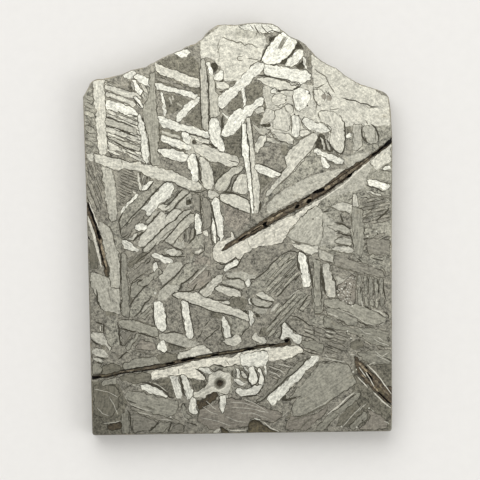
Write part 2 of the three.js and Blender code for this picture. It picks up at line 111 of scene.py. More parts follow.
# Dull fields between the bars: tone, then corners
FIELDS = """
D 12.9,-14.6 14.5,-14.9 16.9,-14.8 16.9,-22.5 13.5,-22.5 12.2,-19
M -1.9,-15.3 1.5,-15.3 1.7,-17.5 1.5,-18.6 -1.2,-18.3
P -5.8,10.5 -3.9,10.5 -3.7,7.2 -5.4,7
M 8.4,2.2 10,3.6 12.6,3.6 12.9,1.6 11,0.8
M 8.9,-1.3 10.6,-1.3 12.6,-2.9 9.2,-3
P 11.6,7.7 13.2,9.4 15.3,8.8 14.2,7.8 12.4,6.6
M -17.1,15.2 -16,16 -15.7,13 -15.5,8.9 -17.2,8.9
M 3,-15 6.4,-15.1 7.4,-15.9 4.6,-18 2.6,-18.4
L 3,15.8 6,16.2 8.8,15.8 9,9.9 6,10.2 3,10.5
L 8.6,16 8.4,19.3 10.3,18.1 12,17 14.9,15.5 16.9,14.4 17.1,11.3 13,11.2 9,11.3
M 4,10.4 9,10 17.3,11.3 17.2,8.6 12,8 8.6,9 5.5,9
P 7.9,2.2 9.4,1.8 11,0.6 11,-1.8 8.6,-2 6,-1.6 5.6,-0.6
M 12.6,6 14.9,7.5 17.2,8.9 17.1,0 16.9,-5 12.8,-3.5 12.4,2.4 10.4,3.4
G -15,17 -9,18.6 -8.7,8.2 -10,7.4 -15.2,8.4 -14.6,12
M -14.6,13.6 -11.1,12.75 -11.1,11.5 -14.6,12.6
M -9.4,17.5 -8.95,17.4 -8.9,14 -8.6,12 -8.7,8.2 -9.4,7.3 -9.6,8.4 -9.75,10 -9.9,12 -10.3,13.6
  -9.8,15.8
P -10.4,15.7 -10.05,14.6 -9.85,14.7 -10.15,15.7
G -13.4,17.1 -12.6,17.1 -12,16.7 -11.9,15.6 -12.9,15.9 -13.5,16.4
D -11.9,16.7 -11.5,16.5 -11.3,15.6 -11,15.2 -12,15.5
K -10.6,12.6 -10.35,12.6 -9.85,10.9 -10.1,10.8
D -8.95,18.6 -6.9,19.4 -6.1,19.1 -5.6,19.1 -5.05,19.35 -4.6,19.25 -4.45,18.85 -4.1,18.55 -4.05,14.4
  -8.9,15.4 -8.9,17.4
G -8.8,17.15 -7,16.5 -5,15.65 -5.1,15.35 -7,16.15 -8.8,16.85
G -9,15.6 -8.2,15.4 -7,15.2 -4.3,14.5 -4,13 -3.9,11.2 -5.8,11.9 -8,12.4 -8.9,12.9
D -7.9,15.2 -7,15 -5,14.4 -5.5,14 -6.9,13 -7.9,12.8
D -7,15 -5,14.4 -5.5,14.15 -6.4,14.5
M -6.6,14.2 -5.8,13.65 -5.95,13.4 -6.6,13.95
P -7.55,14.8 -7.25,14.1 -7.1,14.15 -7.35,14.8
P -7.25,14.9 -7.05,14.4 -6.9,14.45 -7.1,14.9
D -4.1,14.2 -4,13 -3.9,11.2 -4.4,11.3 -5.8,11.9 -5.9,12.3 -4.9,13.2
D -8.9,11.6 -6.1,10.8 -5.6,9.4 -6,8.4 -8.9,9.2
D -8.3,11.35 -6.2,10.7 -6.1,10.3 -8.3,11
P -8.3,11.05 -6.2,10.25 -6.2,10.05 -8.3,10.8
K -5,10.1 -4.5,10 -4.4,9.5 -5,9.5
K -3.85,9.8 -3.2,9.6 -2.6,9.4 -2.15,9.1 -2.3,8.8 -2.9,9.2 -3.7,9.4
D -8.5,9.8 -7.4,9.35 -6.7,9.1 -5.7,8.8 -5.7,8.4 -6.4,8.6 -7.2,9.05 -8,9.1 -8.6,9.3
K -2.75,18.4 -2.2,18.5 -2,18.7 -1.95,17.7 -2.4,17.5 -2.55,17.2 -2.65,17.5
K -1.5,17 -1.95,16.5 -1.3,16.35
K -1.85,15.45 -1.4,15.4 -1.75,15.1
K -1.7,12.7 -1.45,12.6 -1.4,11.2 -1.6,11.2
L -3.9,19 -3,19.2 -1.6,18 -1.2,16.4 0.2,16.4 2.8,18.9 3.3,20.4 3.4,21.4 2,22.9 -1.5,22.7 -3.9,21
P 0,21.2 3.3,21.2 3,21.8 1.5,22.1 0,22.2
D -0.8,16.2 -0.3,16.6 0.1,16.5 -0.4,16
D 1.1,17.5 1.6,18 1.8,17.9 1.3,17.4
K 4.7,21.35 4,21.35 3.7,21.1 3.75,20.5 4.1,20.8 4.6,21.1
L 3.25,20.85 3.65,20.5 3.55,20.3 3.2,20.6
K 4.7,18.3 5.4,18.25 5.9,18.8 6.5,19.6 6.9,20 7.6,19.8 7.4,20.2 7,20.7 6.6,20.4 6.1,19.6 5.4,18.9
K 6.4,17.95 7,18.2 7.45,18.7 7.65,17.85 7.5,17.6
D 7.95,19.1 8.4,19.2 8.5,18.6 8.3,18.1 8,18
D 1,15.75 2.05,16.4 3,16 2.95,14.8 2.2,14.4 1.9,13.8 1.1,13.6
D -1,13.8 -0.65,14.1 0.5,15.4 0.75,13.4 0.5,13.5 0,13.1 -0.6,12.6 -1,12.7
P 3,15.9 3.7,15.7 3.75,14.9 3.9,14.2 3.5,13.9 3.2,14.4 3.05,15
K 4.5,15.35 4.95,15.4 4.9,15.1 4.5,15.1
D 3,14.2 3.3,14.1 3.35,13.2 3,13.2
D 1.7,12.6 2.9,12.7 2.7,12.3 2.6,11.4 2,11.8 1.5,11.9
K 2.6,11.4 3.9,11.7 3.8,11.2 3.1,11.2
G 1.6,11.7 2.1,11.5 2.4,10.9 2.7,10.5 2.4,10.2 2,9.3 1.85,9.5 1.7,10.5
D -1.75,10.2 -0.9,10.25 -0.3,10.5 0.2,11 0.6,11.5 0.5,10 0.55,9 0.6,8.2 0.2,7.9 -0.9,8.2 -1.3,8.5
  -1.25,9.3 -1.6,9.8
G 2.3,8.1 2.9,9.2 3.3,9.3 4,9.5 4.7,9.1 5.2,8.2 5.25,7.8 5.4,7.4 5.6,6.9 5.2,6.6 4.8,6.2 4.3,6.4
  3.5,6.85 2.8,7.1 2.1,7.3 2.05,8.2
D 4.7,9.1 5.1,9.3 5.6,9.3 5.8,8.4 5.2,8.1 4.9,8.5
K 9.15,10.5 9.85,10.2 9.7,9.8 10.2,9.7 10.8,8.5 10,8.45 8.6,8.95
P 9.3,10.1 9.55,10 9.85,8.65 9.55,8.65
P 9.8,9.9 10.05,9.8 10.45,8.55 10.15,8.55
D 12.15,11.2 12.7,11.3 12.8,10.5 12.2,10.5
G 12.1,9.8 12.85,9.7 12.85,8.3 12.1,8.2
P 12.95,11.3 13.8,11.4 13.9,8.6 13,8.3
M 16,11.3 17.2,11.3 17.2,10.1 16.1,10
M 8.4,8.8 9.2,8.1 9.2,7.5 9.4,6.8 9.6,6.3 8.9,6.2 8,5.9 7.2,5.4 6.4,5 5.7,4.8 5,4.4 4.2,3.8 3.4,3.2
  3,2.9 2.8,3.2 3.5,3.8 4.3,4.5 5.2,5.2 5.9,5.8 6.4,6.5 7,7.1 7.8,7.9
P 3.2,2.6 4.2,3.6 5.8,4.6 8,5.7 9.4,6.1 10.6,6.4 12.6,6.5 11,5.6 9.6,4.6 8,3.8 6.6,3.2 4.6,2.2
  3.4,1.6
D 2.5,6 3.1,6 3.5,5.75 4.1,5.65 3.9,5.4 3.5,5.1 3.1,4.7 2.75,4.4 2.6,4.6
G -17.2,8.9 -16,8.9 -15.9,7.7 -15.1,7.3 -15.05,6.2 -14.9,5 -14.75,3.8 -14.9,3 -15.1,1.2 -15.5,1
  -16,1.5 -16.5,3.2 -17.2,4
L -16.6,8.9 -15.9,8.7 -15.95,7.8 -16.6,7.9
G -13.75,6.6 -12.9,6.75 -12,6.7 -11.2,6.55 -11.1,6 -11.05,5 -10.85,4.4 -11.2,4.1 -11.9,3.3 -12.4,2.8
  -12.9,2.2 -13.2,2.5 -13.35,3.5 -13.5,4.5 -13.6,5.5
L -13.1,4.85 -11.3,4.15 -11.3,3.97 -13.1,4.65
D -10.9,6.5 -10,6.05 -9.35,5.7 -9.8,5.3 -10.2,5 -10.5,4.9 -10.7,5.6
K -10,6.1 -9.4,5.75 -9.9,5.5
P -10.6,6.2 -10.35,6.1 -10.2,5.2 -10.45,5.1
M -13.2,0.9 -13,1.7 -12.4,2.5 -11.9,2.8 -11,3.8 -10.6,4.2 -10.1,4.3 -9.4,5.1 -9.2,5.4 -8.6,5.3
  -8.45,4.85 -9,4.45 -9.5,3.9 -10,3.35 -10.6,2.6 -11.2,2.05 -11.8,1.5 -12.3,0.85 -12.9,0.2
G -10.75,0.95 -10.3,1.55 -9.85,1.6 -9.3,2.2 -9.05,2.5 -8.6,2.1 -9.3,1.3 -10,0.55 -10.4,0.75
M -14.3,1.2 -13.4,1.2 -13.2,0.5 -13.1,-0.5 -12.95,-1 -13,-2 -13.3,-2.4 -13.8,-1.7 -13.9,-0.8
  -14,-0.1 -14.5,0.6
M -11.3,2 -10.7,2.3 -10.5,1.9 -10.4,1.6 -10.8,0.95 -11.4,0.7 -11.6,0.4 -11.65,0.1 -12,-0.4
  -12.6,-0.8 -12.95,-0.9 -12.95,0 -12.3,0.7 -11.8,1.4
G -8.7,8.2 -8,7.95 -7.4,7.9 -7.2,7.7 -6.5,7.6 -5.7,7.5 -5.5,7.3 -5.45,6.7 -5.3,6 -5.1,5.6 -6,5.95
  -6.9,6.4 -7.5,6.65 -8.4,6.85 -8.7,7
D -3,7.35 -2.2,7.2 -1.5,7 -0.85,6.75 -1.3,6.35 -1.9,5.9 -2.3,5.4 -2.5,5.1 -2.6,5.9 -2.75,6.7
  -2.9,7.1
G -1.9,3 -1.2,2.65 -0.3,2.25 0.5,1.95 1.35,1.7 2.3,1.8 3.5,2 3,0.9 2.3,0 1.5,-0.5 0.5,-0.9 -0.2,-1.1
  -1,-0.9 -1.5,-0.9 -1.45,0 -1.5,1 -1.6,1.6 -1.8,2.2
G -4.1,4 -3.3,4.2 -3,3.2 -2.95,2 -3,1 -3.05,0 -3,-1.2 -2.95,-2 -2.85,-3.2 -3,-3.6 -3.5,-3.2 -3.6,-2
  -3.5,-1.3 -3.8,-0.8 -4,-0.3 -4,1 -4.15,2 -4.15,3
G -5.05,3.9 -4.2,3.95 -4.2,3 -4.2,2.2 -4.4,1.7 -4.9,2 -5,2.6
G -6.9,4.95 -6.4,4.75 -6.1,4.5 -6.5,4.1 -6.9,3.6 -7.3,3.2 -7.7,2.85 -8.1,2.95 -8.5,2.95 -8.2,3.1
  -7.7,3.4 -7.3,3.9 -7,4.4
P -5.2,3.95 -5.7,3.6 -6.3,3.2 -6.6,2.8 -6.9,2.4 -6.3,2.3 -5.7,2.5 -5.2,2.6 -5.1,3
K -5.65,3.4 -5.3,3.6 -5.1,3.3 -5.1,2.8 -5.7,2.7
G -5.8,0.2 -5.3,0.5 -5,0.8 -4.95,0 -4.9,-0.7 -5.3,-1.2 -5.5,-1.7 -5.9,-1.9 -5.9,-0.3
P -5.95,-0.1 -6.3,-0.55 -6.8,-1.1 -7.1,-1.5 -7.2,-1.8 -6.8,-2 -6.2,-2.05 -5.95,-1.9
G -5.9,-1.9 -5.2,-1.8 -5,-2.3 -5.1,-2.8 -5.8,-3 -6.2,-2.8 -6.1,-2.2
M -4.7,-0.7 -4.1,-0.6 -3.8,-0.9 -3.6,-1.3 -3.9,-1.5 -3.9,-2 -4.3,-2.2 -4.9,-2.2 -5.2,-1.9 -5.4,-1.6
  -5.2,-1.3
L -4.75,-2.5 -4,-2.2 -3.95,-2.4 -4.7,-2.72
G -5,-4.1 -4,-4.2 -3.6,-4 -3.2,-4.2 -3.2,-4.9 -3.4,-5.5 -3.9,-6 -5.5,-6.1 -5.2,-5.6 -4.9,-5.1
  -4.4,-4.6
M -5,-3 -4,-3 -3.4,-3.3 -3.8,-3.9 -5,-4 -5.6,-3.8 -5.9,-3.2
P -6.3,-3.6 -6.8,-3.5 -7.2,-3.7 -7.9,-3.9 -8.2,-4.3 -8.7,-4.8 -8.9,-5.1 -8.7,-5.7 -8.3,-6.1
  -7.7,-5.6 -7,-5 -6.5,-4.4 -6.1,-3.9
G -8.9,-3.9 -8.1,-3.9 -8.15,-4.4 -8.8,-4.9
M -5.9,-4 -5.2,-4 -4.9,-4.3 -4.9,-4.8 -5.3,-5.3 -5.9,-5.7 -6.4,-6.1 -7.5,-6.2 -7.3,-5.6 -6.8,-5
  -6.3,-4.5
G -3.1,-3.5 -2.6,-3.7 -2.5,-5.3 -3.1,-5.6
G 0.5,-3.1 1.2,-2.5 2,-2.15 3,-1.95 4,-1.85 4.8,-1.7 5.2,-1.3 5,-2.4 4.7,-2.9 4.4,-3.3 3.5,-4.1
  2.9,-4.8 2.1,-5.3 0.4,-4.7 -0.2,-4.3 0.1,-3.8 0.3,-3.4
P 9.4,3.2 10,3.7 11.5,4.7 12.5,5.6 13.2,6.2 14.2,7 14.9,7.3 15,6.6 14.6,6 14.3,5.5 14.3,4.9 14,4.4
  13.6,4.2
M 14.2,-1.2 16.4,-1.3 16.4,-3 14.2,-3
G 13.5,3 14,3.2 14.6,2.9 14.4,2.5 13.9,2.3 13.5,2.5
G 11.1,1.8 12.3,1.6 12.5,1.4 12.6,0.7 12.5,-0.1 12.1,0.1 11.8,0.4 11.6,1 11.3,1.4
M 4.8,-2.9 5.5,-2.9 6,-3.1 6.1,-3.3 5.2,-3.9 4.7,-4.6 4.2,-5.1 3.8,-5.7 3.4,-6.2 3,-6.6 2.7,-6.9
  2.3,-7 1.9,-7.1 1,-7.5 0.9,-7.2 1.1,-6.5 1.5,-6.2 1.9,-5.7 2.5,-5.3 3,-4.8 3.5,-4.3 4.5,-3.3
G 4.2,-5.3 4.8,-4.6 5.3,-4 6.2,-3.4 6.5,-3.6 6.6,-4.3 6.8,-5 7,-5.8 7.1,-6.5 5.6,-6 5,-6.9 4.2,-7.7
  3.5,-7.4 2.8,-6.9 3.4,-6.2 3.9,-5.6
M 9.2,-2.6 10.5,-3.1 11.5,-3.2 12.5,-3.6 13.5,-4 14,-4.3 14.2,-5 13.3,-5 12.6,-4.9 11.5,-4.5
  10.6,-4.1 10,-3.8 9.3,-3.6 9,-3.2
G 10.6,-4.3 11.5,-4.6 12.5,-4.9 12.9,-5.1 12.3,-5.6 11.7,-6.1 11,-6.3 10.6,-5.3
P 10.9,-5.3 11.8,-5.8 12.2,-5.4 12.9,-5.2 13,-6.3 12.7,-6.9 12.4,-7.4 12.2,-8 11.9,-8.3 11.5,-8
  11,-7.7
P -1.6,-4.9 0.4,-4.7 1.5,-5.1 2.1,-5.2 1.8,-5.6 1,-5.7 0.2,-5.6 -1,-5.4
M -13.05,-6.3 -12.3,-6.3 -12.15,-7.2 -12.15,-8.5 -12.2,-8.9 -13,-8.9
D -12.1,-7.6 -11.85,-7.4 -11.75,-7.8 -12.05,-8.3
M -10,-6.2 -9.2,-6.6 -9.1,-6.9 -9.5,-7.2 -10,-7.6 -10.6,-8.4 -11.1,-9 -11.6,-9.5 -12.1,-9.6
  -12.3,-9.2 -12.1,-8.8 -11.9,-8.3 -11.3,-7.3 -10.7,-6.6
G -9.6,-8 -9.55,-9.3 -9.5,-10 -9.4,-10.6 -10,-10.5 -10.8,-10.2 -11,-9.9 -10.6,-9.3 -10,-8.9
  -9.7,-8.6
P -10.9,-9 -10.2,-8.3 -9.7,-8.1 -9.9,-8.8 -10.5,-9.2
P -13.2,-11.1 -12.1,-11.3 -12.4,-11.8 -12.9,-12.5 -13.1,-12.6 -13.2,-12
M -14.7,-10 -13.6,-9.7 -13.6,-10.3 -13.4,-11 -13.4,-12 -13.3,-12.8 -14.3,-12.9 -14.7,-12.2
  -14.85,-11.6 -14.8,-10.8
D -14.9,-8.9 -14,-9 -13.5,-9.4 -13.9,-9.5 -14.8,-9.5
D -15.5,-12.7 -14.9,-12.9 -14.9,-13.2 -15.4,-13.2
L -16.4,-13.3 -15.9,-13 -15.4,-13.1 -14.9,-13.3 -14.7,-13.6 -14.6,-14 -15.2,-14.1 -15.9,-13.9
  -16.4,-13.6
P -8,-6.1 -7.2,-6.1 -6.6,-6.2 -6.7,-6.7 -7.3,-6.9 -7.6,-7.3 -8,-7.7 -8.5,-7.9 -9,-7.8 -9,-7.4
  -8.75,-6.8
G -8.4,-8 -7.9,-7.7 -7.5,-7.45 -7,-7.6 -6.6,-7.8 -6.5,-8.4 -6.4,-9.3 -6.3,-10 -6.2,-10.8 -6.1,-11.5
  -6.6,-11.45 -7.3,-11.3 -8,-11.3 -8,-10.5 -8.1,-9.5 -8.2,-8.6
G -5.6,-8.1 -5,-8.35 -4.2,-8.6 -3.6,-8.9 -2.9,-9.2 -2.2,-9.35 -1.9,-9.5 -1.9,-10.2 -2,-10.8
  -1.95,-11.6 -1.8,-12.2 -2.2,-12.4 -3,-12.3 -3.8,-12.5 -4.5,-12.3 -4.9,-12.2 -5.1,-11.7 -5.1,-11
  -5.3,-10.2 -5.45,-9.3
D -3.4,-9.15 -2.2,-9.4 -1.9,-9.6 -1.95,-10 -3.2,-9.7
M -1.2,-9.8 -0.7,-9.7 0,-10 0.7,-10.2 1,-10.6 1.2,-10.9 0.7,-11.2 0.2,-11.8 -0.1,-11.7 -0.5,-11.6
  -0.85,-11.8 -0.8,-11.2 -1,-10.6
P -8.1,-11.5 -7.3,-11.45 -6.4,-11.65 -5.9,-12 -5.5,-12.3 -4.9,-12.4 -4.3,-12.7 -4.9,-13 -5.9,-13.1
  -6.8,-12.9 -7.5,-12.6 -8.2,-12.3 -8.9,-12 -8.9,-11.5
G -3,-7.3 -2.6,-7 -2.1,-7 -1.6,-7.3 -1.1,-7.6 -1.1,-7.85 -1.8,-7.9 -2.5,-7.85 -3.2,-7.6
D -0.9,-7.7 -0.3,-7.6 0.3,-7.6 1,-7.9 0.9,-8.7 0.5,-9 0,-8.8 -0.8,-8.65 -1,-8.3
K 0.1,-8.9 0.9,-9 0.95,-9.6 0.5,-9.3
P 1.6,-8.7 2.4,-8.8 3.2,-8.9 3,-9.3 2.6,-9.5 2,-9.35 1.7,-9.2
K 1.75,-9.4 1.8,-9.9 2.1,-9.8 2.4,-9.65 2.1,-9.4
M 6,-7.6 6.9,-6.9 7.4,-7.1 7.5,-7.6 7.1,-8.3 6.6,-8.8 6.3,-9 5.3,-8.9 5.2,-8.4
D 2.5,-11 3,-10.9 3.6,-11.1 3.5,-11.6 3,-12 2.3,-12.1 2.2,-11.8 2.35,-11.4
G 3.3,-12 3.9,-11.2 4.5,-11 4.4,-12.3 3.2,-12.5
G 12.4,-6.8 13,-6.8 13.2,-8.7 12.6,-8.7
P 9.4,-7.9 10.4,-8 11.3,-8 12,-8.7 13,-8.9 14.5,-9 15.5,-9.2 16.1,-9.6 16.4,-10 16.1,-10.9 15,-10.85
  14.4,-10.8 13.6,-10.4 12.9,-10 12.2,-9.5 11.3,-9.1 10.6,-8.9 10,-8.7 9.5,-8.5
K 9.4,-8.5 9.85,-8.7 9.5,-8.8 9.45,-9.2 9.4,-9.5 9.3,-9.2
G 9.7,-8.9 10.6,-8.9 11.5,-9.3 12.3,-9.6 12.9,-10 13,-10.6 12.4,-10.9 11.5,-10.3 10.7,-10 9.9,-9.6
G 10.4,-10.1 11.2,-10.3 12,-10.7 12.6,-11 11.8,-11.1 10.8,-11
M 8.2,-9.8 9.2,-9.8 9.9,-9.8 10.4,-10.1 10.6,-10.9 9.8,-11.1 9,-10.9 8.4,-10.8 8,-10.7 7.8,-10.2
G 2.95,-15 3.6,-14.85 4.4,-14.8 5,-14.75 5.8,-14.5 6.3,-14.3 6.7,-14.4 7.2,-14.1 7.9,-14.2 7.4,-14.7
  6.8,-15.3 6,-16 5.2,-16.6 4.5,-17.3 3.8,-17.9 3.1,-18.5 2.7,-18.9 1.9,-19.2 1.2,-19 0.9,-18.6
  1.8,-18.45 2.2,-18 2.8,-17.3 2.9,-16.6 2.95,-15.8
D -15.2,-15 -14.5,-14.9 -13.9,-15 -13,-15 -13,-15.6 -13.9,-15.7 -14.7,-15.9 -15.3,-16 -15.3,-15.4
D -12.1,-16.2 -11,-16 -10.1,-15.9 -10,-16.6 -10.6,-16.8 -11.1,-16.9 -11.6,-17.1 -12,-16.8
G -8.9,-13.6 -8.2,-13.8 -7.1,-13.8 -6.9,-14.4 -7.5,-14.6 -8.2,-14.7 -8.7,-14.8 -9,-14.3
K -8.9,-14.2 -8.3,-14.3 -8,-14.7 -8.7,-14.8
D -8,-12.6 -7.2,-12.85 -6.4,-13 -5.8,-13.2 -6.2,-13.35 -7,-13.4 -7.6,-13.4 -8,-13.5
G -3.9,-12.6 -3.2,-12.4 -2,-12.4 -1.7,-12.6 -1.2,-12.95 -0.2,-13 0.3,-12.6 0.5,-12.2 1.3,-12.1
  1.7,-12.6 2,-12.9 1.5,-13.2 0.2,-13.5 -1,-13.65 -2,-13.7 -2.9,-13.75 -3.3,-13.4 -3.7,-13
D -9.8,-16.7 -8.8,-16.6 -8,-16.35 -7.8,-16.5 -7.65,-17 -7.5,-17.7 -7.3,-18.4 -7.2,-18.7 -7.8,-18.65
  -8.1,-18.3 -8.5,-17.8 -9.2,-17.3 -9.9,-17
D -5.8,-16.5 -5.2,-16.6 -4.6,-16.85 -3.9,-16.75 -3.7,-17.1 -3.7,-17.4 -3.9,-17.6 -4.4,-17.8 -4.9,-18
  -5.1,-17.8 -5.3,-17.2 -5.5,-16.8
M -3.4,-15.3 -3,-15.1 -2.3,-15.2 -1.5,-15.4 -0.9,-15.6 -0.6,-16 -1.2,-15.9 -1.8,-15.6 -2.4,-15.6
  -2.9,-15.85 -3.2,-15.6
D -0.1,-15.4 0.3,-15.5 0.7,-15.9 0.9,-16 0.9,-17 0.5,-16.9 0,-16.6 -0.05,-16
P 0,-16 0.6,-16.3 0.6,-16.5 0,-16.2
K 5.1,-18.5 4.8,-18.8 4.5,-19.1 5.2,-19.2 5.6,-19.1 6,-18.9 6.4,-18.6 5.9,-18.75 5.2,-19
D 5.1,-21.1 5.4,-20.5 5.6,-20.1 5.6,-21.2
D 3.1,-20 3.5,-19.95 4,-20.4 3.6,-20.5
L 12.9,-20.8 12.6,-20.8 11.9,-21.9 12.15,-22
M -13.3,-19.9 -12.6,-19.9 -12.4,-20.8 -12.3,-22.6 -13.2,-22.6
P -6.7,-20 -6,-20 -5.6,-21 -6.2,-21.2
R -1.6,2.9 0,2.3 1.3,1.7 1.3,0.7 0,-0.3 -1.4,0.4
R -4.6,-2.8 -3.1,-3.2 -3.1,-4 -5,-3.8
D -16.9,-16.6 -13.4,-17 -12.7,-19 -12.9,-22.8 -16.9,-22.8
"""

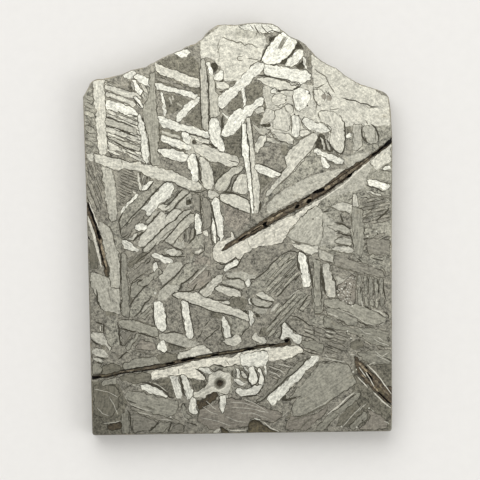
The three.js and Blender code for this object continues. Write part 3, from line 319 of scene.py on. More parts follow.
# Bright bars: tone, then corners
BARS = """
L -15.9,16.7 -15.86,14.85 -15.6,13.2 -15.6,11.8 -15.4,9.3 -15.3,8.5 -14.65,8.35 -14.4,9.6 -14.5,12.5
  -14.65,15 -14.7,16.9
W -12.5,17.4 -11.6,17.8 -11.2,17.5 -11,17.1 -11.5,16.8 -12.3,16.9
W -11.4,17.1 -10.9,17.4 -9.7,16.8 -8.8,16.2 -9,15.75 -9.9,16.1 -10.9,16.6
W -11.6,16.7 -11.2,16.8 -10.4,15.3 -10.6,15 -11,15.1
L -14.6,16.2 -13.9,16.1 -12.2,15.5 -10.8,15.1 -10.4,14.6 -11.4,14.7 -12.7,14.9 -14.5,15.7
L -14.5,15.5 -12.7,14.8 -11.5,14.4 -11.1,14 -11.5,13.6 -12.8,14.3 -14.5,14.95
W -11.45,14.8 -11.2,14.95 -10.5,14 -10.4,13.6 -10.7,13.6
W -14.5,14.6 -13.5,14.4 -12,13.8 -11.2,13.4 -11,12.8 -12,12.85 -13,13.2 -14.5,13.55
P -14.6,12.6 -13.4,12.2 -12.4,11.9 -11.1,11.3 -11,10.7 -12.4,11.1 -13.3,11.45 -14.6,11.8
L -14.5,11.6 -13.2,11.15 -12,10.6 -11,10.35 -11,10 -12.2,10.35 -13.4,10.7 -14.5,11.1
P -14.4,10.5 -13,10 -11.8,9.7 -10.75,9.2 -10.75,8.8 -11.8,9.1 -12.6,9.4 -14.1,10.1
L -14.3,9.95 -13.2,9.3 -12.7,8.95 -13.5,8.85 -14.15,9
L -12.9,9.1 -12.2,9 -11.2,8.6 -10.7,8.3 -10.7,7.95 -11.6,8.2 -12.6,8.7
W -11,12.9 -10.65,12.8 -10.35,11.9 -10.2,10.9 -9.95,10.2 -9.8,9 -9.75,7.6 -10.1,7.4 -10.5,8
  -10.6,9.2 -10.6,10.3 -10.85,11.3
W -6.9,19.65 -5.9,20.05 -5,19.9 -5.1,19.5 -5.6,19.15 -6.2,19.2 -6.6,19.45
L -9,18.6 -8,18.1 -6.8,17.65 -5.2,17.1 -4.05,16.6 -4,15.8 -5.2,16 -6.8,16.7 -8.9,17.6
W -8.95,16.45 -8,16.1 -6.4,15.6 -5,15.3 -4.2,14.9 -4.5,14.5 -5.6,14.85 -7.2,15.3 -8.3,15.5 -9,15.8
P -3.85,18.9 -3.4,18.8 -3.2,16.8 -3.1,13.8 -3.1,10.9 -3.8,11.2 -3.95,13.5 -3.95,16.4
P -2.95,17.4 -2.45,17.2 -2.4,15.6 -1.95,14.8 -1.85,12.7 -2.45,12.5 -2.95,12.2 -3,14.8
W -3.25,18.6 -2.85,18.6 -2.45,17.4 -2.7,17.1 -3,17.5
W -2.5,12.4 -3,12 -3.1,11 -3,10 -2.6,9.5 -2.1,9 -1.4,8.5 -1.3,9.2 -1.6,9.9 -1.85,10.5 -1.85,11.4
  -2,12.1
W -1.4,17.7 -1.75,17.6 -2.35,17.2 -2.45,16.6 -1.75,16.5 -1.4,16.9
L -2.3,16.4 -1.8,16.45 -1.2,16.3 -0.75,15.95 -1.1,15.65 -1.6,15.5 -2.1,15.75
W -8.5,15.3 -8.2,15.2 -7.9,13.9 -7.8,12.6 -8.1,12.7 -8.2,14
W -6.75,12.1 -6.3,12.05 -5.8,12.5 -4.9,13.4 -4,14.3 -4.05,14.8 -4.6,14.6 -5.3,14.1 -6,13.4 -6.6,12.9
W -8.8,12.8 -8,12.5 -6.9,12 -5.8,11.7 -4.2,11.2 -3.2,10.75 -3.1,10.2 -4,10.35 -5,10.6 -6,10.95
  -7.3,11.15 -8.3,11.5 -8.7,12.1
L -6,10.75 -5,10.45 -4,10.15 -3,9.9 -3.1,9.55 -4.2,9.75 -5,10.15
W -8.35,10.6 -7,10.15 -6,9.85 -5.6,9.5 -5.1,9.4 -5.05,8.9 -5.6,8.9 -6.3,9 -7,9.3 -7.8,9.6 -8.4,9.9
W -6.1,10.9 -5.5,10.8 -5.1,10.2 -5.2,9.4 -5.6,9.5 -6,10.2
W -8.8,9.05 -8,9 -7.1,9 -6.4,8.6 -5.7,8.5 -5.4,8.2 -5.6,7.6 -6.3,7.65 -7.1,7.75 -7.6,8 -8.1,8.15
  -8.6,8.5
L -4.9,9.4 -4.3,9.5 -3.3,9.3 -2.2,8.75 -1.3,8.4 0,8 0.2,7.5 0.05,7.1 -0.6,6.85 -1.2,7 -2.2,7.45
  -3,7.55 -3.6,8 -4.6,8.5
W -1.6,12.9 -0.7,12.6 -1,12.3
W 0.4,22.6 1.5,22.75 2.6,22.85 4,22.7 4.9,22.2 5.1,21.9 4.2,21.9 3.6,21.7 2.9,21.8 1.8,22.1 0.8,22.2
W 3.1,18.3 4.6,18.35 5.2,18.7 6.1,19.4 6.6,20.2 6.9,20.8 6,21.4 5.2,21.9 4.7,21.4 3.9,20.5 3.3,19.8
  2.85,18.9
W 5.5,18.1 5.8,18.7 6.3,19.2 6.8,19.7 7.5,19.8 7.6,19.3 7.3,18.8 6.8,18.3 6.4,18
W 7.5,19 7.75,18.9 7.9,17.7 7.65,17.6
W 3.15,18.15 4.5,18.15 5.4,17.95 6.35,17.8 7.25,17.6 7.95,17.5 8.4,17 8.2,16.4 7.15,16 6.35,16.3
  5.5,16.5 4.6,16.7 3.9,16.85 3,17.2
L 2.2,16.6 2.9,16.8 4.2,16.75 5.2,16.4 6.3,15.85 7,15.9 6.3,15.4 4.7,15.35 4,15.7 3.1,16.1
W -1.95,14.8 -2,13.8 -1.8,13.4 -1.1,13.7 -0.3,14.6 0.4,15.3 1.3,16.1 2.2,16.9 3.1,17.7 3.2,18.2
  2.7,18.6 2.2,18.5 1,17.3 0,16.3 -0.8,15.6 -1.4,15.2
W 0.55,15.5 0.9,15.6 1.1,14.5 1.1,13.6 0.8,13.5 0.7,14.4
W 3.85,15.1 4.15,15 4.45,15.2 4.3,15.6 3.95,15.55
W -1.7,10.4 -1.45,11.45 -1,12.3 -0.05,13.2 0.5,13.5 0.8,13.25 1.05,13.65 1.55,13.7 2.3,14.45
  2.7,14.6 3.15,14.5 2.9,13.7 2.4,13.5 1.65,12.6 1.1,12.4 0.75,11.85 0.2,11.1 -0.35,10.6 -0.95,10.35
L 2,13.1 2.4,13.4 2.9,13.5 3.1,13.1 3,12.9 2.2,12.85
L 2.45,11.4 3.1,11.2 3.6,11 3.8,10.7 3.5,10.4 2.8,10.4 2.55,10.8
L 1.95,8.9 2.1,9.5 2.5,10.1 3.2,10.4 3.4,10.1 3,9.5 2.8,9.1 2.2,8.4 2,8.6
W 0.6,11.7 1,11.8 1.15,10.5 1.3,9 1.45,7.2 1.55,5.6 1.7,3.6 1.75,1.75 1.5,1.75 1.4,3.2 1.2,4.8
  1.05,6 0.9,7 0.6,8.2 0.5,9.4 0.55,10.6
L 1.1,12.3 1.5,12.3 1.65,10.8 1.8,9.2 1.95,8.2 2.05,7 2.3,6 2.45,5 2.5,4.2 2.4,3.4 2.4,2.6 2.25,1.7
  1.85,1.65 1.75,3.6 1.6,5.6 1.5,7.2 1.35,9 1.2,10.5
W 2,7.2 2.6,7.15 3.4,6.8 4.2,6.4 4.8,6.15 4.9,6 4.3,5.75 4,5.6 3.4,5.85 3.1,6.05 2.5,6.1 2.2,6.4
  2,6.7
L 10.1,9.75 10.8,8.65 11.5,8.1 11.8,8.4 12,9.6 11.95,11.4 11.2,11.7 10.3,11.2
W 12.1,9.9 12.7,9.95 12.8,10.35 12.2,10.4
W 8.5,8.7 8.7,8.8 9.3,8.6 10,8.3 10.8,8.05 11.5,7.75 11.9,7.5 11.7,7.1 11.2,7.1 10.5,7.3 10.1,7.6
  9.8,7.9 9.3,8.1 8.9,8.2 8.5,8.45
W 9.35,7.8 9.5,7.95 9.75,7.8 9.85,7.5 10.1,7.2 10.25,6.8 10.1,6.6 9.65,6.65 9.5,7 9.35,7.4
L 14.8,7.4 15.5,8 16.4,8.7 17.1,9.3 17.1,7.3 16.4,6.9 16.1,6.7 15.6,6.3 15.2,6.5 15,6.9
W 16.2,6.5 16.6,6.75 17.05,6.95 17.05,6.4 16.3,6.3
W 14.4,5.1 14.5,5.3 15.2,5.35 15.7,5.1 16.4,4.85 17,4.65 16.9,4.2 16.1,4.2 15.7,4.3 15.3,4.5
  14.9,4.6 14.5,4.8
L 14.3,4.05 14.8,3.7 15.2,3.5 16,3.4 15.9,3.65 15.2,3.8 14.6,4.1
L 12.7,3.2 12.9,3.6 13.2,3.6 13.4,3.3 13.4,2.6 13.3,2.3 12.8,2.4
L 10.3,2.4 10.9,2.6 11.5,2.8 12.3,2.75 12.7,2.4 12.6,1.8 12.3,1.6 11.8,1.75 11.3,1.9 10.9,2.1
P 9.9,0.2 10.8,0.4 11.6,0.35 12,0.1 12.5,-0.2 12.5,-0.65 12,-0.7 11.5,-0.5 11,-0.4 10.5,-0.2
P 10.7,-1.4 11.3,-1.15 12,-1.1 12.5,-1.3 12.65,-1.9 12,-1.95 11.4,-1.85 10.8,-1.65
L 10.5,-2.2 11.2,-2.1 12,-2.15 12.5,-2.2 12.8,-2.6 12.7,-2.8 12,-2.75 11.2,-2.6 10.4,-2.4
L -15.9,8.7 -14.6,8.25 -13,7.95 -12,7.75 -11,7.6 -10.3,7.4 -9.6,7.25 -9,7.05 -8.4,6.9 -7.5,6.65
  -6.9,6.4 -6,5.95 -5.1,5.5 -4.4,5.25 -3.9,4.9 -4.1,4.35 -5.2,4.35 -5.9,4.7 -6.4,4.85 -6.9,5.15
  -7.3,5.4 -8.2,5.35 -8.9,5.7 -9.35,5.7 -10.2,6.15 -11.1,6.6 -12,6.85 -13,6.8 -13.8,6.75 -14.2,7.05
  -14.8,7.3 -15.6,7.6 -15.95,8
P -15.05,7.2 -14.95,6 -14.85,5 -14.7,4 -14.6,3.2 -14.4,2 -14.2,1.1 -13.5,1 -13.35,2 -13.4,3.3
  -13.5,4.5 -13.65,5.5 -13.8,6.5 -14.1,6.95
L -11.2,6.4 -10.95,6.3 -10.8,5.3 -10.6,4.5 -10.9,4.4 -11.1,5.4
W -10.65,4.45 -10.2,4.5 -9.75,5 -9.3,5.5 -9.45,5.6 -9.85,5.4 -10.2,5 -10.5,4.8
W -13.1,1.9 -12.8,2.1 -12.1,2.8 -11.5,3.35 -11,3.9 -11.15,4.1 -11.7,3.6 -12.3,3 -12.9,2.35
W -10.7,2.35 -10.1,2.9 -9.6,3.6 -9.1,4.1 -8.6,4.65 -8.3,5 -7.9,5.25 -7.3,5.25 -6.95,4.9 -7.1,4.4
  -7.4,3.9 -7.8,3.4 -8.3,3.1 -8.9,2.75 -9.15,2.4 -9.4,2 -9.8,1.6 -10.1,1.55 -10.4,1.8 -10.45,2.2
W -5.55,7.6 -5.4,8 -5,8.5 -4.65,8.4 -4.5,7.5 -4.35,6.7 -4.3,6 -4.3,5.4 -4.5,5.25 -4.8,5.3 -4.95,5.6
  -5.1,6.1 -5.3,6.7 -5.5,7.2
L -4.2,8.2 -3.7,8 -3.2,7.6 -3,7.2 -2.85,6.7 -2.7,6.2 -2.6,5.7 -2.6,5.2 -2.7,4.8 -2.9,4.5 -3.3,4.4
  -3.7,4.6 -3.85,5.1 -3.95,6 -4.05,7 -4.2,7.7
L -3.4,4.15 -2.8,4.35 -2.3,4.1 -2.1,3.7 -2.5,3.6 -2.8,3.4 -3,3.3 -3.3,3.8
P -0.7,6.75 0,6.9 0.5,7.2 0.7,6.9 0.55,6.6 0.15,6.25 -0.4,5.95 -0.75,5.6 -0.9,4.9 -1.2,4.45
  -1.6,4.25 -2.1,4.15 -2.45,4.4 -2.5,4.9 -2.3,5.3 -1.9,5.8 -1.3,6.3
L 0.1,5.9 0.7,6.2 1,6 1.05,5.5 1.15,5 1.15,4.3 1.05,4 0.5,3.9 0,4.1 -0.5,4.2 -0.6,4.5 -0.4,5.1
  -0.1,5.6
L -2,3.9 -1,3.9 0,3.75 0.5,3.5 1.2,3.15 1.35,2.8 1.4,1.85 1.2,1.8 0.5,2.05 -0.3,2.4 -0.9,2.65
  -1.5,2.9 -1.95,3.3
W -2.7,3.3 -2.5,3.55 -2.2,3.5 -2.05,3.1 -2,2.4 -1.95,2 -1.75,1.6 -1.65,1 -1.6,0 -1.6,-0.9 -1.9,-1.3
  -2.2,-1.1 -2.3,-0.5 -2.4,0.2 -2.5,1 -2.6,1.8 -2.75,2.3 -2.9,2.9
W -2.8,1.4 -2.65,0.9 -2.5,0.2 -2.45,-0.6 -2.5,-1.3 -2.6,-1.65 -2.75,-1.4 -2.85,-0.6 -2.95,0.2 -2.9,1
W -4.6,1.8 -4.3,1.75 -4.1,1.2 -4,0.3 -4,-0.4 -4.3,-0.5 -4.7,-0.6 -4.75,0 -4.8,0.9 -4.75,1.3
P -5.5,4.35 -6.1,4.4 -6.6,3.85 -7.1,3.3 -7.6,2.75 -8.1,2.4 -7.9,2.1 -7.4,2.2 -7.05,2.5 -6.75,2.95
  -6.35,3.4 -5.8,3.8 -5.4,4.05
P -5.2,2.2 -5.9,2.1 -6.5,1.75 -6.9,1.15 -7.5,0.8 -8.3,0.15 -8.8,-0.4 -9.5,-1 -10.3,-1.75 -10.6,-2.1
  -10.4,-2.45 -9.9,-2.3 -9.2,-1.7 -8.7,-1.3 -8.1,-0.9 -7.4,-0.25 -6.9,0.3 -6.4,0.85 -5.9,1.3
  -5.3,1.75
L -8.5,2.1 -8.1,1.7 -7.6,1.95 -7,2.3 -6.2,2.1 -6.6,1.6 -7,1.15 -7.7,0.75 -8.4,0.1 -8.9,-0.35
  -9.6,-1.05 -10.3,-1.7 -10.75,-2 -11.1,-1.6 -11,-1 -10.6,-0.4 -10.2,0 -10,0.45 -9.4,1.15
P -4.9,1.8 -4.75,1.4 -4.9,0.9 -5.3,0.5 -5.85,0.1 -6.25,-0.45 -6.75,-0.95 -7.2,-1.5 -7.6,-1.65
  -8.15,-1.25 -7.9,-0.85 -7.35,-0.25 -6.85,0.35 -6.4,0.9 -5.9,1.35 -5.3,1.75
W -11.55,0.4 -11.3,0.7 -10.8,0.85 -10.4,0.75 -10.15,0.5 -10.05,0.3 -10.3,0 -10.7,-0.1 -11.1,0.05
  -11.4,0.1
L -11.15,-0.3 -11.4,-0.7 -11.8,-1.15 -12.2,-1 -12.1,-0.8 -11.75,-0.7 -11.5,-0.35
W -12.95,-1.15 -12.5,-1 -12.05,-1.2 -11.7,-1.55 -11.4,-1.9 -10.95,-2.1 -11.1,-2.45 -11.4,-2.3
  -12,-2.2 -12.4,-2.1 -12.7,-1.95 -12.85,-1.7
W -9.4,-3.7 -9.2,-3.5 -9.05,-3.6 -8.95,-4.3 -8.95,-5 -9.1,-5.2 -9.3,-5 -9.45,-4.5 -9.5,-4
W -9.6,-2.7 -9.2,-2.55 -8.8,-2.65 -8.3,-2.85 -7.6,-3.1 -7.2,-3.3 -7.3,-3.6 -7.8,-3.75 -8.3,-3.7
  -8.8,-3.4 -9.1,-3.1 -9.6,-2.95
P -15.45,1 -14.9,0.85 -14.4,0.45 -14,-0.1 -13.9,-1 -13.75,-1.7 -13.3,-2.6 -13.2,-4 -13.15,-5.6
  -13.3,-6.4 -14.3,-6.2 -14.4,-5.2 -14.45,-4 -14.7,-2.6 -15.1,-1.2 -15.4,0
P -8.3,-2.3 -8,-2.05 -7.4,-2 -6.9,-2.15 -6.4,-2.3 -6.2,-2.6 -6.5,-2.85 -7.2,-2.9 -8,-2.75
L -3.9,-0.2 -3.5,-0.1 -3.3,-0.4 -3.4,-0.75 -3.7,-0.7 -3.9,-0.5
C -2.8,-2 -2.5,-1.6 -2.2,-1.35 -1.5,-1.25 -1.1,-0.95 -0.75,-0.85 -0.8,-0.4 -0.65,-0.25 -0.5,-0.5
  -0.35,-0.9 0.6,-0.85 1.2,-0.75 2,-0.6 2.6,-0.15 3.3,0.1 4,0.45 5,1.05 6.2,1.45 7,1.95 7.7,2.45
  8.4,2.85 9.2,3.25 9.3,2.9 8.9,2.5 8,2.15 7.4,1.55 7,1.2 6.6,0.6 6.1,0.1 5.7,-0.3 5.5,-0.8 5.2,-1.2
  4.8,-1.6 4.2,-1.7 3.5,-1.8 2.7,-1.9 2,-2.1 1.4,-2.3 0.9,-2.6 0.5,-3 0.2,-3.4 -0.1,-3.3 -0.3,-3.1
  -0.8,-3.5 -1.3,-3.85 -2,-3.7 -2.6,-3.6 -2.75,-3
W -1.7,-4.5 -1.5,-4.3 -1.2,-4 -0.7,-3.65 -0.3,-3.3 0,-3.55 0,-3.9 -0.4,-4.1 -0.8,-4.3 -1.1,-4.55
  -1.5,-4.7
P 5.7,-0.2 6.1,0.2 6.8,0.8 7.2,1.3 8,2 8.9,2.5 9.4,1.6 9.3,0.4 9.4,-0.9 9,-2 8.1,-1.85 7,-1.7
  6.3,-1.4 5.7,-1.1 5.5,-0.9
L 6,-1.9 6.5,-2.2 7,-2.4 7.5,-2.8 8,-3 8.8,-2.7 8.9,-2.1 8.1,-1.95 7,-1.8 6.2,-1.7
W 6.65,-3 6.75,-2.7 6.95,-2.6 7.3,-2.9 7.55,-3.3 7.6,-4 7.75,-4.7 7.95,-5.2 8,-5.9 8,-6.5 7.15,-6.5
  7.1,-5.9 7,-5.2 6.95,-4.6 6.85,-4 6.65,-3.5
L 9.35,-4 9.9,-3.9 10.15,-4.4 10.3,-5 10.35,-5.6 10.7,-6.1 10.75,-7 10.7,-7.7 10.1,-7.75 9.8,-7.5
  9.6,-6.8 9.5,-5.9 9.4,-5
M -12,-6.3 -11.7,-5.75 -11,-5.6 -10.4,-5.8 -10.1,-6 -10.5,-6.3 -11,-6.9 -11.5,-7.4 -12,-7.5
W -9.5,-8.2 -9.3,-8 -8.8,-7.9 -8.5,-8.1 -8.3,-8.6 -8.2,-9.2 -8.15,-10 -8.1,-10.7 -8.15,-11.1
  -8.5,-11.25 -8.9,-11.1 -9.2,-10.8 -9.4,-10.2 -9.5,-9.5 -9.5,-8.8
W -6.4,-8 -6.2,-7.8 -5.9,-7.9 -5.7,-8.2 -5.6,-8.7 -5.5,-9.4 -5.4,-10.1 -5.25,-10.8 -5.1,-11.5
  -5.15,-12 -5.35,-12.2 -5.7,-12.05 -5.95,-11.7 -6.05,-11.1 -6.1,-10.4 -6.25,-9.6 -6.35,-8.8
L -7.4,-7.3 -7,-7 -6.3,-6.95 -5.5,-6.95 -4.8,-7 -4.3,-7.3 -3.9,-7.6 -3.3,-7.6 -2.6,-7.9 -2.2,-8.1
  -1.9,-8.3 -1.3,-8.5 -0.7,-8.7 0,-8.95 0.6,-9.3 0.9,-9.6 1.1,-10.1 1.1,-10.3 0.5,-10.1 -0.1,-9.85
  -0.7,-9.6 -1.3,-9.5 -1.9,-9.25 -2.8,-9.15 -3.5,-8.9 -4.1,-8.55 -4.8,-8.3 -5.4,-8.1 -5.8,-7.9
  -6.4,-7.65 -7,-7.5
L -4.4,-7.1 -4.2,-6.8 -3.8,-6.4 -3.3,-6 -2.9,-5.6 -2.5,-5.2 -2.1,-5 -1.75,-5 -1.8,-5.3 -1.95,-5.8
  -2.3,-6.1 -2.6,-6.3 -2.75,-6.6 -2.9,-7 -3.2,-7.3 -3.6,-7.45 -4,-7.4
L -2.6,-6.4 -2.1,-6.3 -1.5,-6.4 -0.8,-6.6 0,-6.8 0.25,-7.2 0.2,-7.45 -0.5,-7.5 -1.1,-7.4 -1.7,-7.1
  -2.6,-6.8
P -1.9,-5.65 -1.2,-5.65 -0.5,-5.6 0.3,-5.75 0.7,-6.1 0.75,-6.5 0.3,-6.7 -0.5,-6.45 -1.3,-6.2 -2,-6
L -1.9,-8.1 -1.5,-7.95 -1.1,-8 -0.95,-8.2 -1.4,-8.3 -1.8,-8.25
W 0.7,-5.9 0.85,-5.75 1.2,-5.5 1.3,-5.7 1.25,-6.2 1,-6.45 0.85,-6.2
W 1.05,-7.8 1.2,-7.6 1.3,-8 1.4,-8.4 1.1,-8.3 1,-8
W 1,-9.1 1.3,-9 1.6,-9.3 1.65,-9.9 1.6,-10.5 1.3,-10.8 1.15,-10.4 1.05,-9.8
L 2,-7.25 2.3,-7.05 2.8,-7.1 3.1,-7.3 3.5,-7.6 4,-8 3.6,-8 3,-7.9 2.5,-7.7 2.1,-7.45
P 1.45,-7.8 1.8,-7.55 2.3,-7.8 2.8,-8 3.4,-8.15 3.75,-8.35 3.5,-8.5 3.2,-8.7 2.4,-8.6 1.8,-8.5
  1.55,-8.3
W -1.75,-9.6 -1.6,-9.8 -1.4,-10.2 -1.1,-10.7 -0.95,-11.2 -0.95,-11.7 -1.05,-12.05 -1.6,-12.1
  -1.75,-11.5 -1.85,-10.8 -1.95,-10.2 -1.9,-9.8
L -1.9,-12.4 -1.5,-12.15 -1,-12.1 -0.8,-11.9 -0.4,-11.65 -0.1,-11.8 0.2,-12 0.35,-12.3 0.2,-12.6
  -0.1,-12.9 -0.7,-13 -1.2,-12.9 -1.6,-12.7
L 1.4,-11.9 1.7,-11.6 2,-11.7 2.2,-12 2.8,-12.2 3,-12.5 2.6,-12.75 2.1,-12.75 1.7,-12.5 1.5,-12.2
W 4.85,-10.4 5.1,-10.5 5.4,-10.8 5.8,-11.3 6.2,-11.7 6.8,-11.9 6.9,-12.2 6.9,-12.8 6,-12.7
  5.75,-12.15 5.3,-12.1 4.95,-12.3 4.5,-12.4 4.6,-11.8 4.75,-11
M -13.4,-10 -12.9,-9.9 -12,-9.9 -11.2,-10.1 -10.5,-10.4 -9.6,-10.8 -9.2,-10.9 -9,-11.3 -9.05,-11.8
  -9.9,-11.7 -10.8,-11.4 -11.4,-11.15 -12,-11.1 -12.8,-10.9 -13.1,-10.7 -13.35,-10.4
L -16.45,-11.3 -16,-11.2 -15.3,-11.4 -14.9,-11.7 -14.8,-12.2 -14.6,-12.6 -14.3,-13.2 -14.45,-13.4
  -14.7,-12.95 -14.95,-12.7 -15.3,-12.6 -15.8,-12.5 -16.2,-12.2 -16.45,-11.9
L -16.3,-14 -15.6,-14.25 -15,-14.5 -15.1,-14.6 -15.8,-14.5 -16.3,-14.2
L -15.4,-10.45 -15.3,-11.1 -15.5,-11.1 -15.55,-10.5
M -13,-14.8 -12.2,-14.6 -11.7,-14.3 -11,-14.2 -10,-14.2 -9.4,-14 -9,-14.4 -8.8,-14.8 -9.5,-14.9
  -10.3,-15.2 -11,-15.4 -12,-15.4 -12.9,-15.5 -13,-15.1
W -9.1,-12.4 -8.6,-12.25 -8.3,-12.4 -8.1,-12.8 -8.1,-13.4 -8.3,-13.6 -8.7,-13.5 -9,-13.3 -9.1,-12.9
L -6.9,-14.4 -6.85,-14 -6.7,-13.6 -6.2,-13.45 -5.7,-13.35 -5.2,-13.1 -4.8,-12.9 -4.3,-12.85
  -3.9,-12.85 -3.6,-13.1 -3.3,-13.5 -3,-13.8 -3.5,-13.9 -4.5,-13.95 -5.2,-14.1 -5.8,-14.25
  -6.4,-14.4
C -9.9,-15.85 -9.4,-15.6 -8.5,-15.45 -7.5,-15.3 -6.7,-15.05 -5.9,-14.85 -5,-14.6 -4.2,-14.45
  -3.3,-14.3 -2.5,-14.2 -1.8,-14.15 -1.2,-14.3 -0.7,-14.15 -0.2,-13.8 0.8,-13.6 1.8,-13.35 3,-13.3
  4.5,-13.2 5.9,-13 6.6,-13.1 6.9,-13.3 7,-13.55 7.1,-13.8 6.6,-13.9 6,-14.3 5.4,-14.5 4.9,-14.65
  4,-14.65 3.6,-14.75 3.2,-14.7 2.9,-14.9 2.7,-15.2 2.3,-15.35 1.5,-15.35 0.9,-15.2 0.3,-15.1
  -0.1,-14.95 -0.6,-15 -1,-15.2 -1.6,-15.25 -2.2,-15 -2.9,-14.95 -3.3,-15.15 -4.2,-15.3 -5,-15.45
  -4.6,-15.7 -4.2,-16 -3.9,-16.2 -3.9,-16.45 -4,-16.7 -4.6,-16.75 -5.3,-16.5 -5.9,-16.35 -6.2,-16.1
  -6.6,-16.1 -7,-16.1 -7.6,-16.1 -8.2,-16.3 -9,-16.55 -9.8,-16.65
W -4.6,-15.5 -4.2,-15.35 -3.6,-15.4 -3.2,-15.8 -3,-16 -3.3,-16.1 -3.7,-16 -4.1,-15.9
W -6.6,-16.1 -6.3,-16.1 -5.9,-16.4 -5.6,-17 -5.4,-17.6 -5.15,-18.2 -5.2,-18.5 -5.6,-18.8 -6,-18.9
  -6.05,-18.4 -6.2,-17.6 -6.4,-16.9
W -7.75,-16.5 -7.7,-16.2 -7.1,-16.15 -6.85,-16.25 -6.8,-16.8 -6.6,-17.5 -6.45,-18.2 -6.6,-18.9
  -7,-18.8 -7.3,-18.2 -7.45,-17.5 -7.6,-16.9
W -11.2,-17.3 -10.7,-17.1 -10.2,-17.15 -9.7,-17.3 -9.2,-17.6 -8.6,-18 -8.2,-18.3 -8,-18.55
  -8.5,-18.5 -9.3,-18.3 -10.1,-18.05 -10.6,-17.9 -11,-17.6
M -15.2,-16.7 -14.7,-16.5 -14.1,-16.45 -13.8,-16.3 -13.7,-16.9 -14.2,-17 -15,-17.2 -15.5,-17.1
W -5.65,-18.95 -5.2,-18.55 -5,-18.8 -4.9,-19.5 -4.85,-20.1 -4.75,-20.4 -5.3,-20.5 -5.65,-20.3
  -5.65,-19.7
M -6.6,-19.5 -6.3,-19.3 -6.1,-20 -5.8,-20.6 -5.2,-20.9 -5.9,-21 -6.4,-20.6
L -2.4,-18.2 -2,-18.2 -1.4,-18.3 -1.35,-18.9 -1.6,-19.4 -1.75,-20.1 -1.95,-20.6 -2.2,-20.4
  -2.3,-19.8 -2.35,-19.2
L -3.6,-16.9 -3.5,-16.4 -3.1,-16.05 -2.5,-15.75 -1.8,-15.75 -1.2,-16 -0.9,-16.5 -0.95,-17.1 -1,-17.7
  -1.2,-18.1 -1.5,-18.25 -2,-18.15 -2.5,-18.1 -3.1,-18.2 -3.5,-18.5 -4,-18.7 -4.6,-18.7 -5.1,-18.55
  -5.1,-18.1 -4.6,-17.9 -4,-17.7 -3.75,-17.3
# Cobbled grains at the upper right
L 3.9,14.6 4.6,15 5.3,14.95 5.7,14.5 5.5,14 5,13.7 4.4,13.6 4,14
W 6.35,15.5 7.3,15.6 8.2,15.1 8.3,14.4 7.7,13.5 7.1,13 6.6,13.2 6.3,14.2
L 5.35,13.7 6,13.8 6.4,13.3 6.3,12.8 5.9,12.8 5.4,13.2
L 4.2,12.9 5.2,13.5 5.9,12.7 6,12 5.9,10.9 4.9,10.9 4,11.2 4,12.2
W 6.25,12.6 6.9,12.5 7,12 7,11 6.9,10.2 6.5,10.1 6.1,10.6 6.15,11.8
L 7.1,10.9 8.6,10.7 8.1,10.4 7.3,10.1 7,10.3
L 9.3,12.9 10.4,13 11.6,12.5 11.9,11.5 12,10 11.9,8.9 11.6,8.3 11,8.5 10.3,9.6 10.5,10.7 10.2,11.5
  9.4,11.7 9.2,12.2
W 7.2,12.2 7.8,12.3 8.6,11.9 9.3,11.6 10.1,11.3 10.6,10.9 10.2,10.6 9.2,10.6 8.4,10.9 7.8,11.1
  7.3,11.6
L 8.7,15.4 9.4,15.5 9.9,14.9 9.8,14 9.1,13.6 8.7,14.2
L 4,10.7 5.8,10.5 6.3,10 6.1,9.3 5.4,9.6 4.6,9.9
L 8.7,10.6 9,10.4 8.8,9.5 8.1,8.4 7.2,7.3 6.3,6.4 5.2,5.4 4.2,4.4 3.4,3.6 3,3.5 3.6,4.5 4.8,5.8
  5.5,6.8 5.3,7.7 5.5,8.3 6,8.8 6.8,9.6 7.7,10.3
P 14.1,11.3 15.2,11.2 15.7,10.4 15.6,9.5 14.8,9.3 14.2,10
P 12.95,11.4 13.85,11.4 13.8,10.2 13.9,9 13,8.4 12.95,9.8
# Dull plates
M -9.6,17.4 -9,17.5 -8.95,14 -8.7,12 -8.65,10.2 -8.8,8.9 -8.6,7.2 -9.5,7.1 -9.7,8.7 -9.85,10.5
  -10.3,12.2 -10.45,13.6 -9.85,14.6 -9.6,15.8
M 8.35,-3.4 9.1,-3.6 9.15,-9.3 8.4,-9.3
M 12.7,2.4 13.9,2 14,-2 13.6,-3.4 12.8,-2.4
G 10.6,-3.1 11.6,-3.2 13.5,-4 16,-4.9 16.3,-5.6 13.3,-5 10.6,-4.2
G 14.2,-1.2 16.8,-1.4 16.8,-3.2 14.4,-3
M 9.4,-8 11.4,-7.9 14.6,-9.1 16.4,-10.2 15.6,-10.9 14,-10.7 12.3,-9.4 9.5,-8.7
M 9.6,-8.9 11.2,-9.1 13.2,-10.3 13,-10.9 12.2,-10.8 9.7,-9.5
# The comb of bright teeth below the lower fissure
W 0,-14 1.5,-13.7 3.1,-13.6 3.1,-14.9 2.9,-15.3 1.8,-15.3 0.4,-15.2 0,-14.9
W -0.5,-17.95 -0.2,-17.75 0.4,-17.8 1.2,-17.6 1.7,-17.4 2.1,-17.5 2.4,-17 2.75,-17.3 2.4,-17.9
  2.1,-18.3 1.5,-18.55 0.3,-18.6 -0.4,-18.4
W 1,-15.3 1.5,-15.3 1.7,-15.8 1.95,-16.5 1.9,-17.1 1.6,-17.3 1.2,-17.3 0.95,-17 0.95,-16.1
W 2.15,-15.5 2.5,-15.8 2.65,-16.8 2.45,-17.3 2.1,-17.4 2.1,-17.05 2.3,-16.4 2.05,-15.8
W 2.65,-15.2 2.9,-15.3 2.95,-16.3 2.75,-16.1
W -0.4,-15.4 -0.1,-15.45 -0.15,-16.1 0.1,-16.6 -0.2,-16.65 -0.4,-16.1
L 0.05,-15.7 0.3,-15.8 0.8,-16.4 0.85,-16.7 0.45,-16.5 0.1,-16.1
W 0.4,-15.2 0.8,-15.4 0.95,-15.8 0.65,-15.8
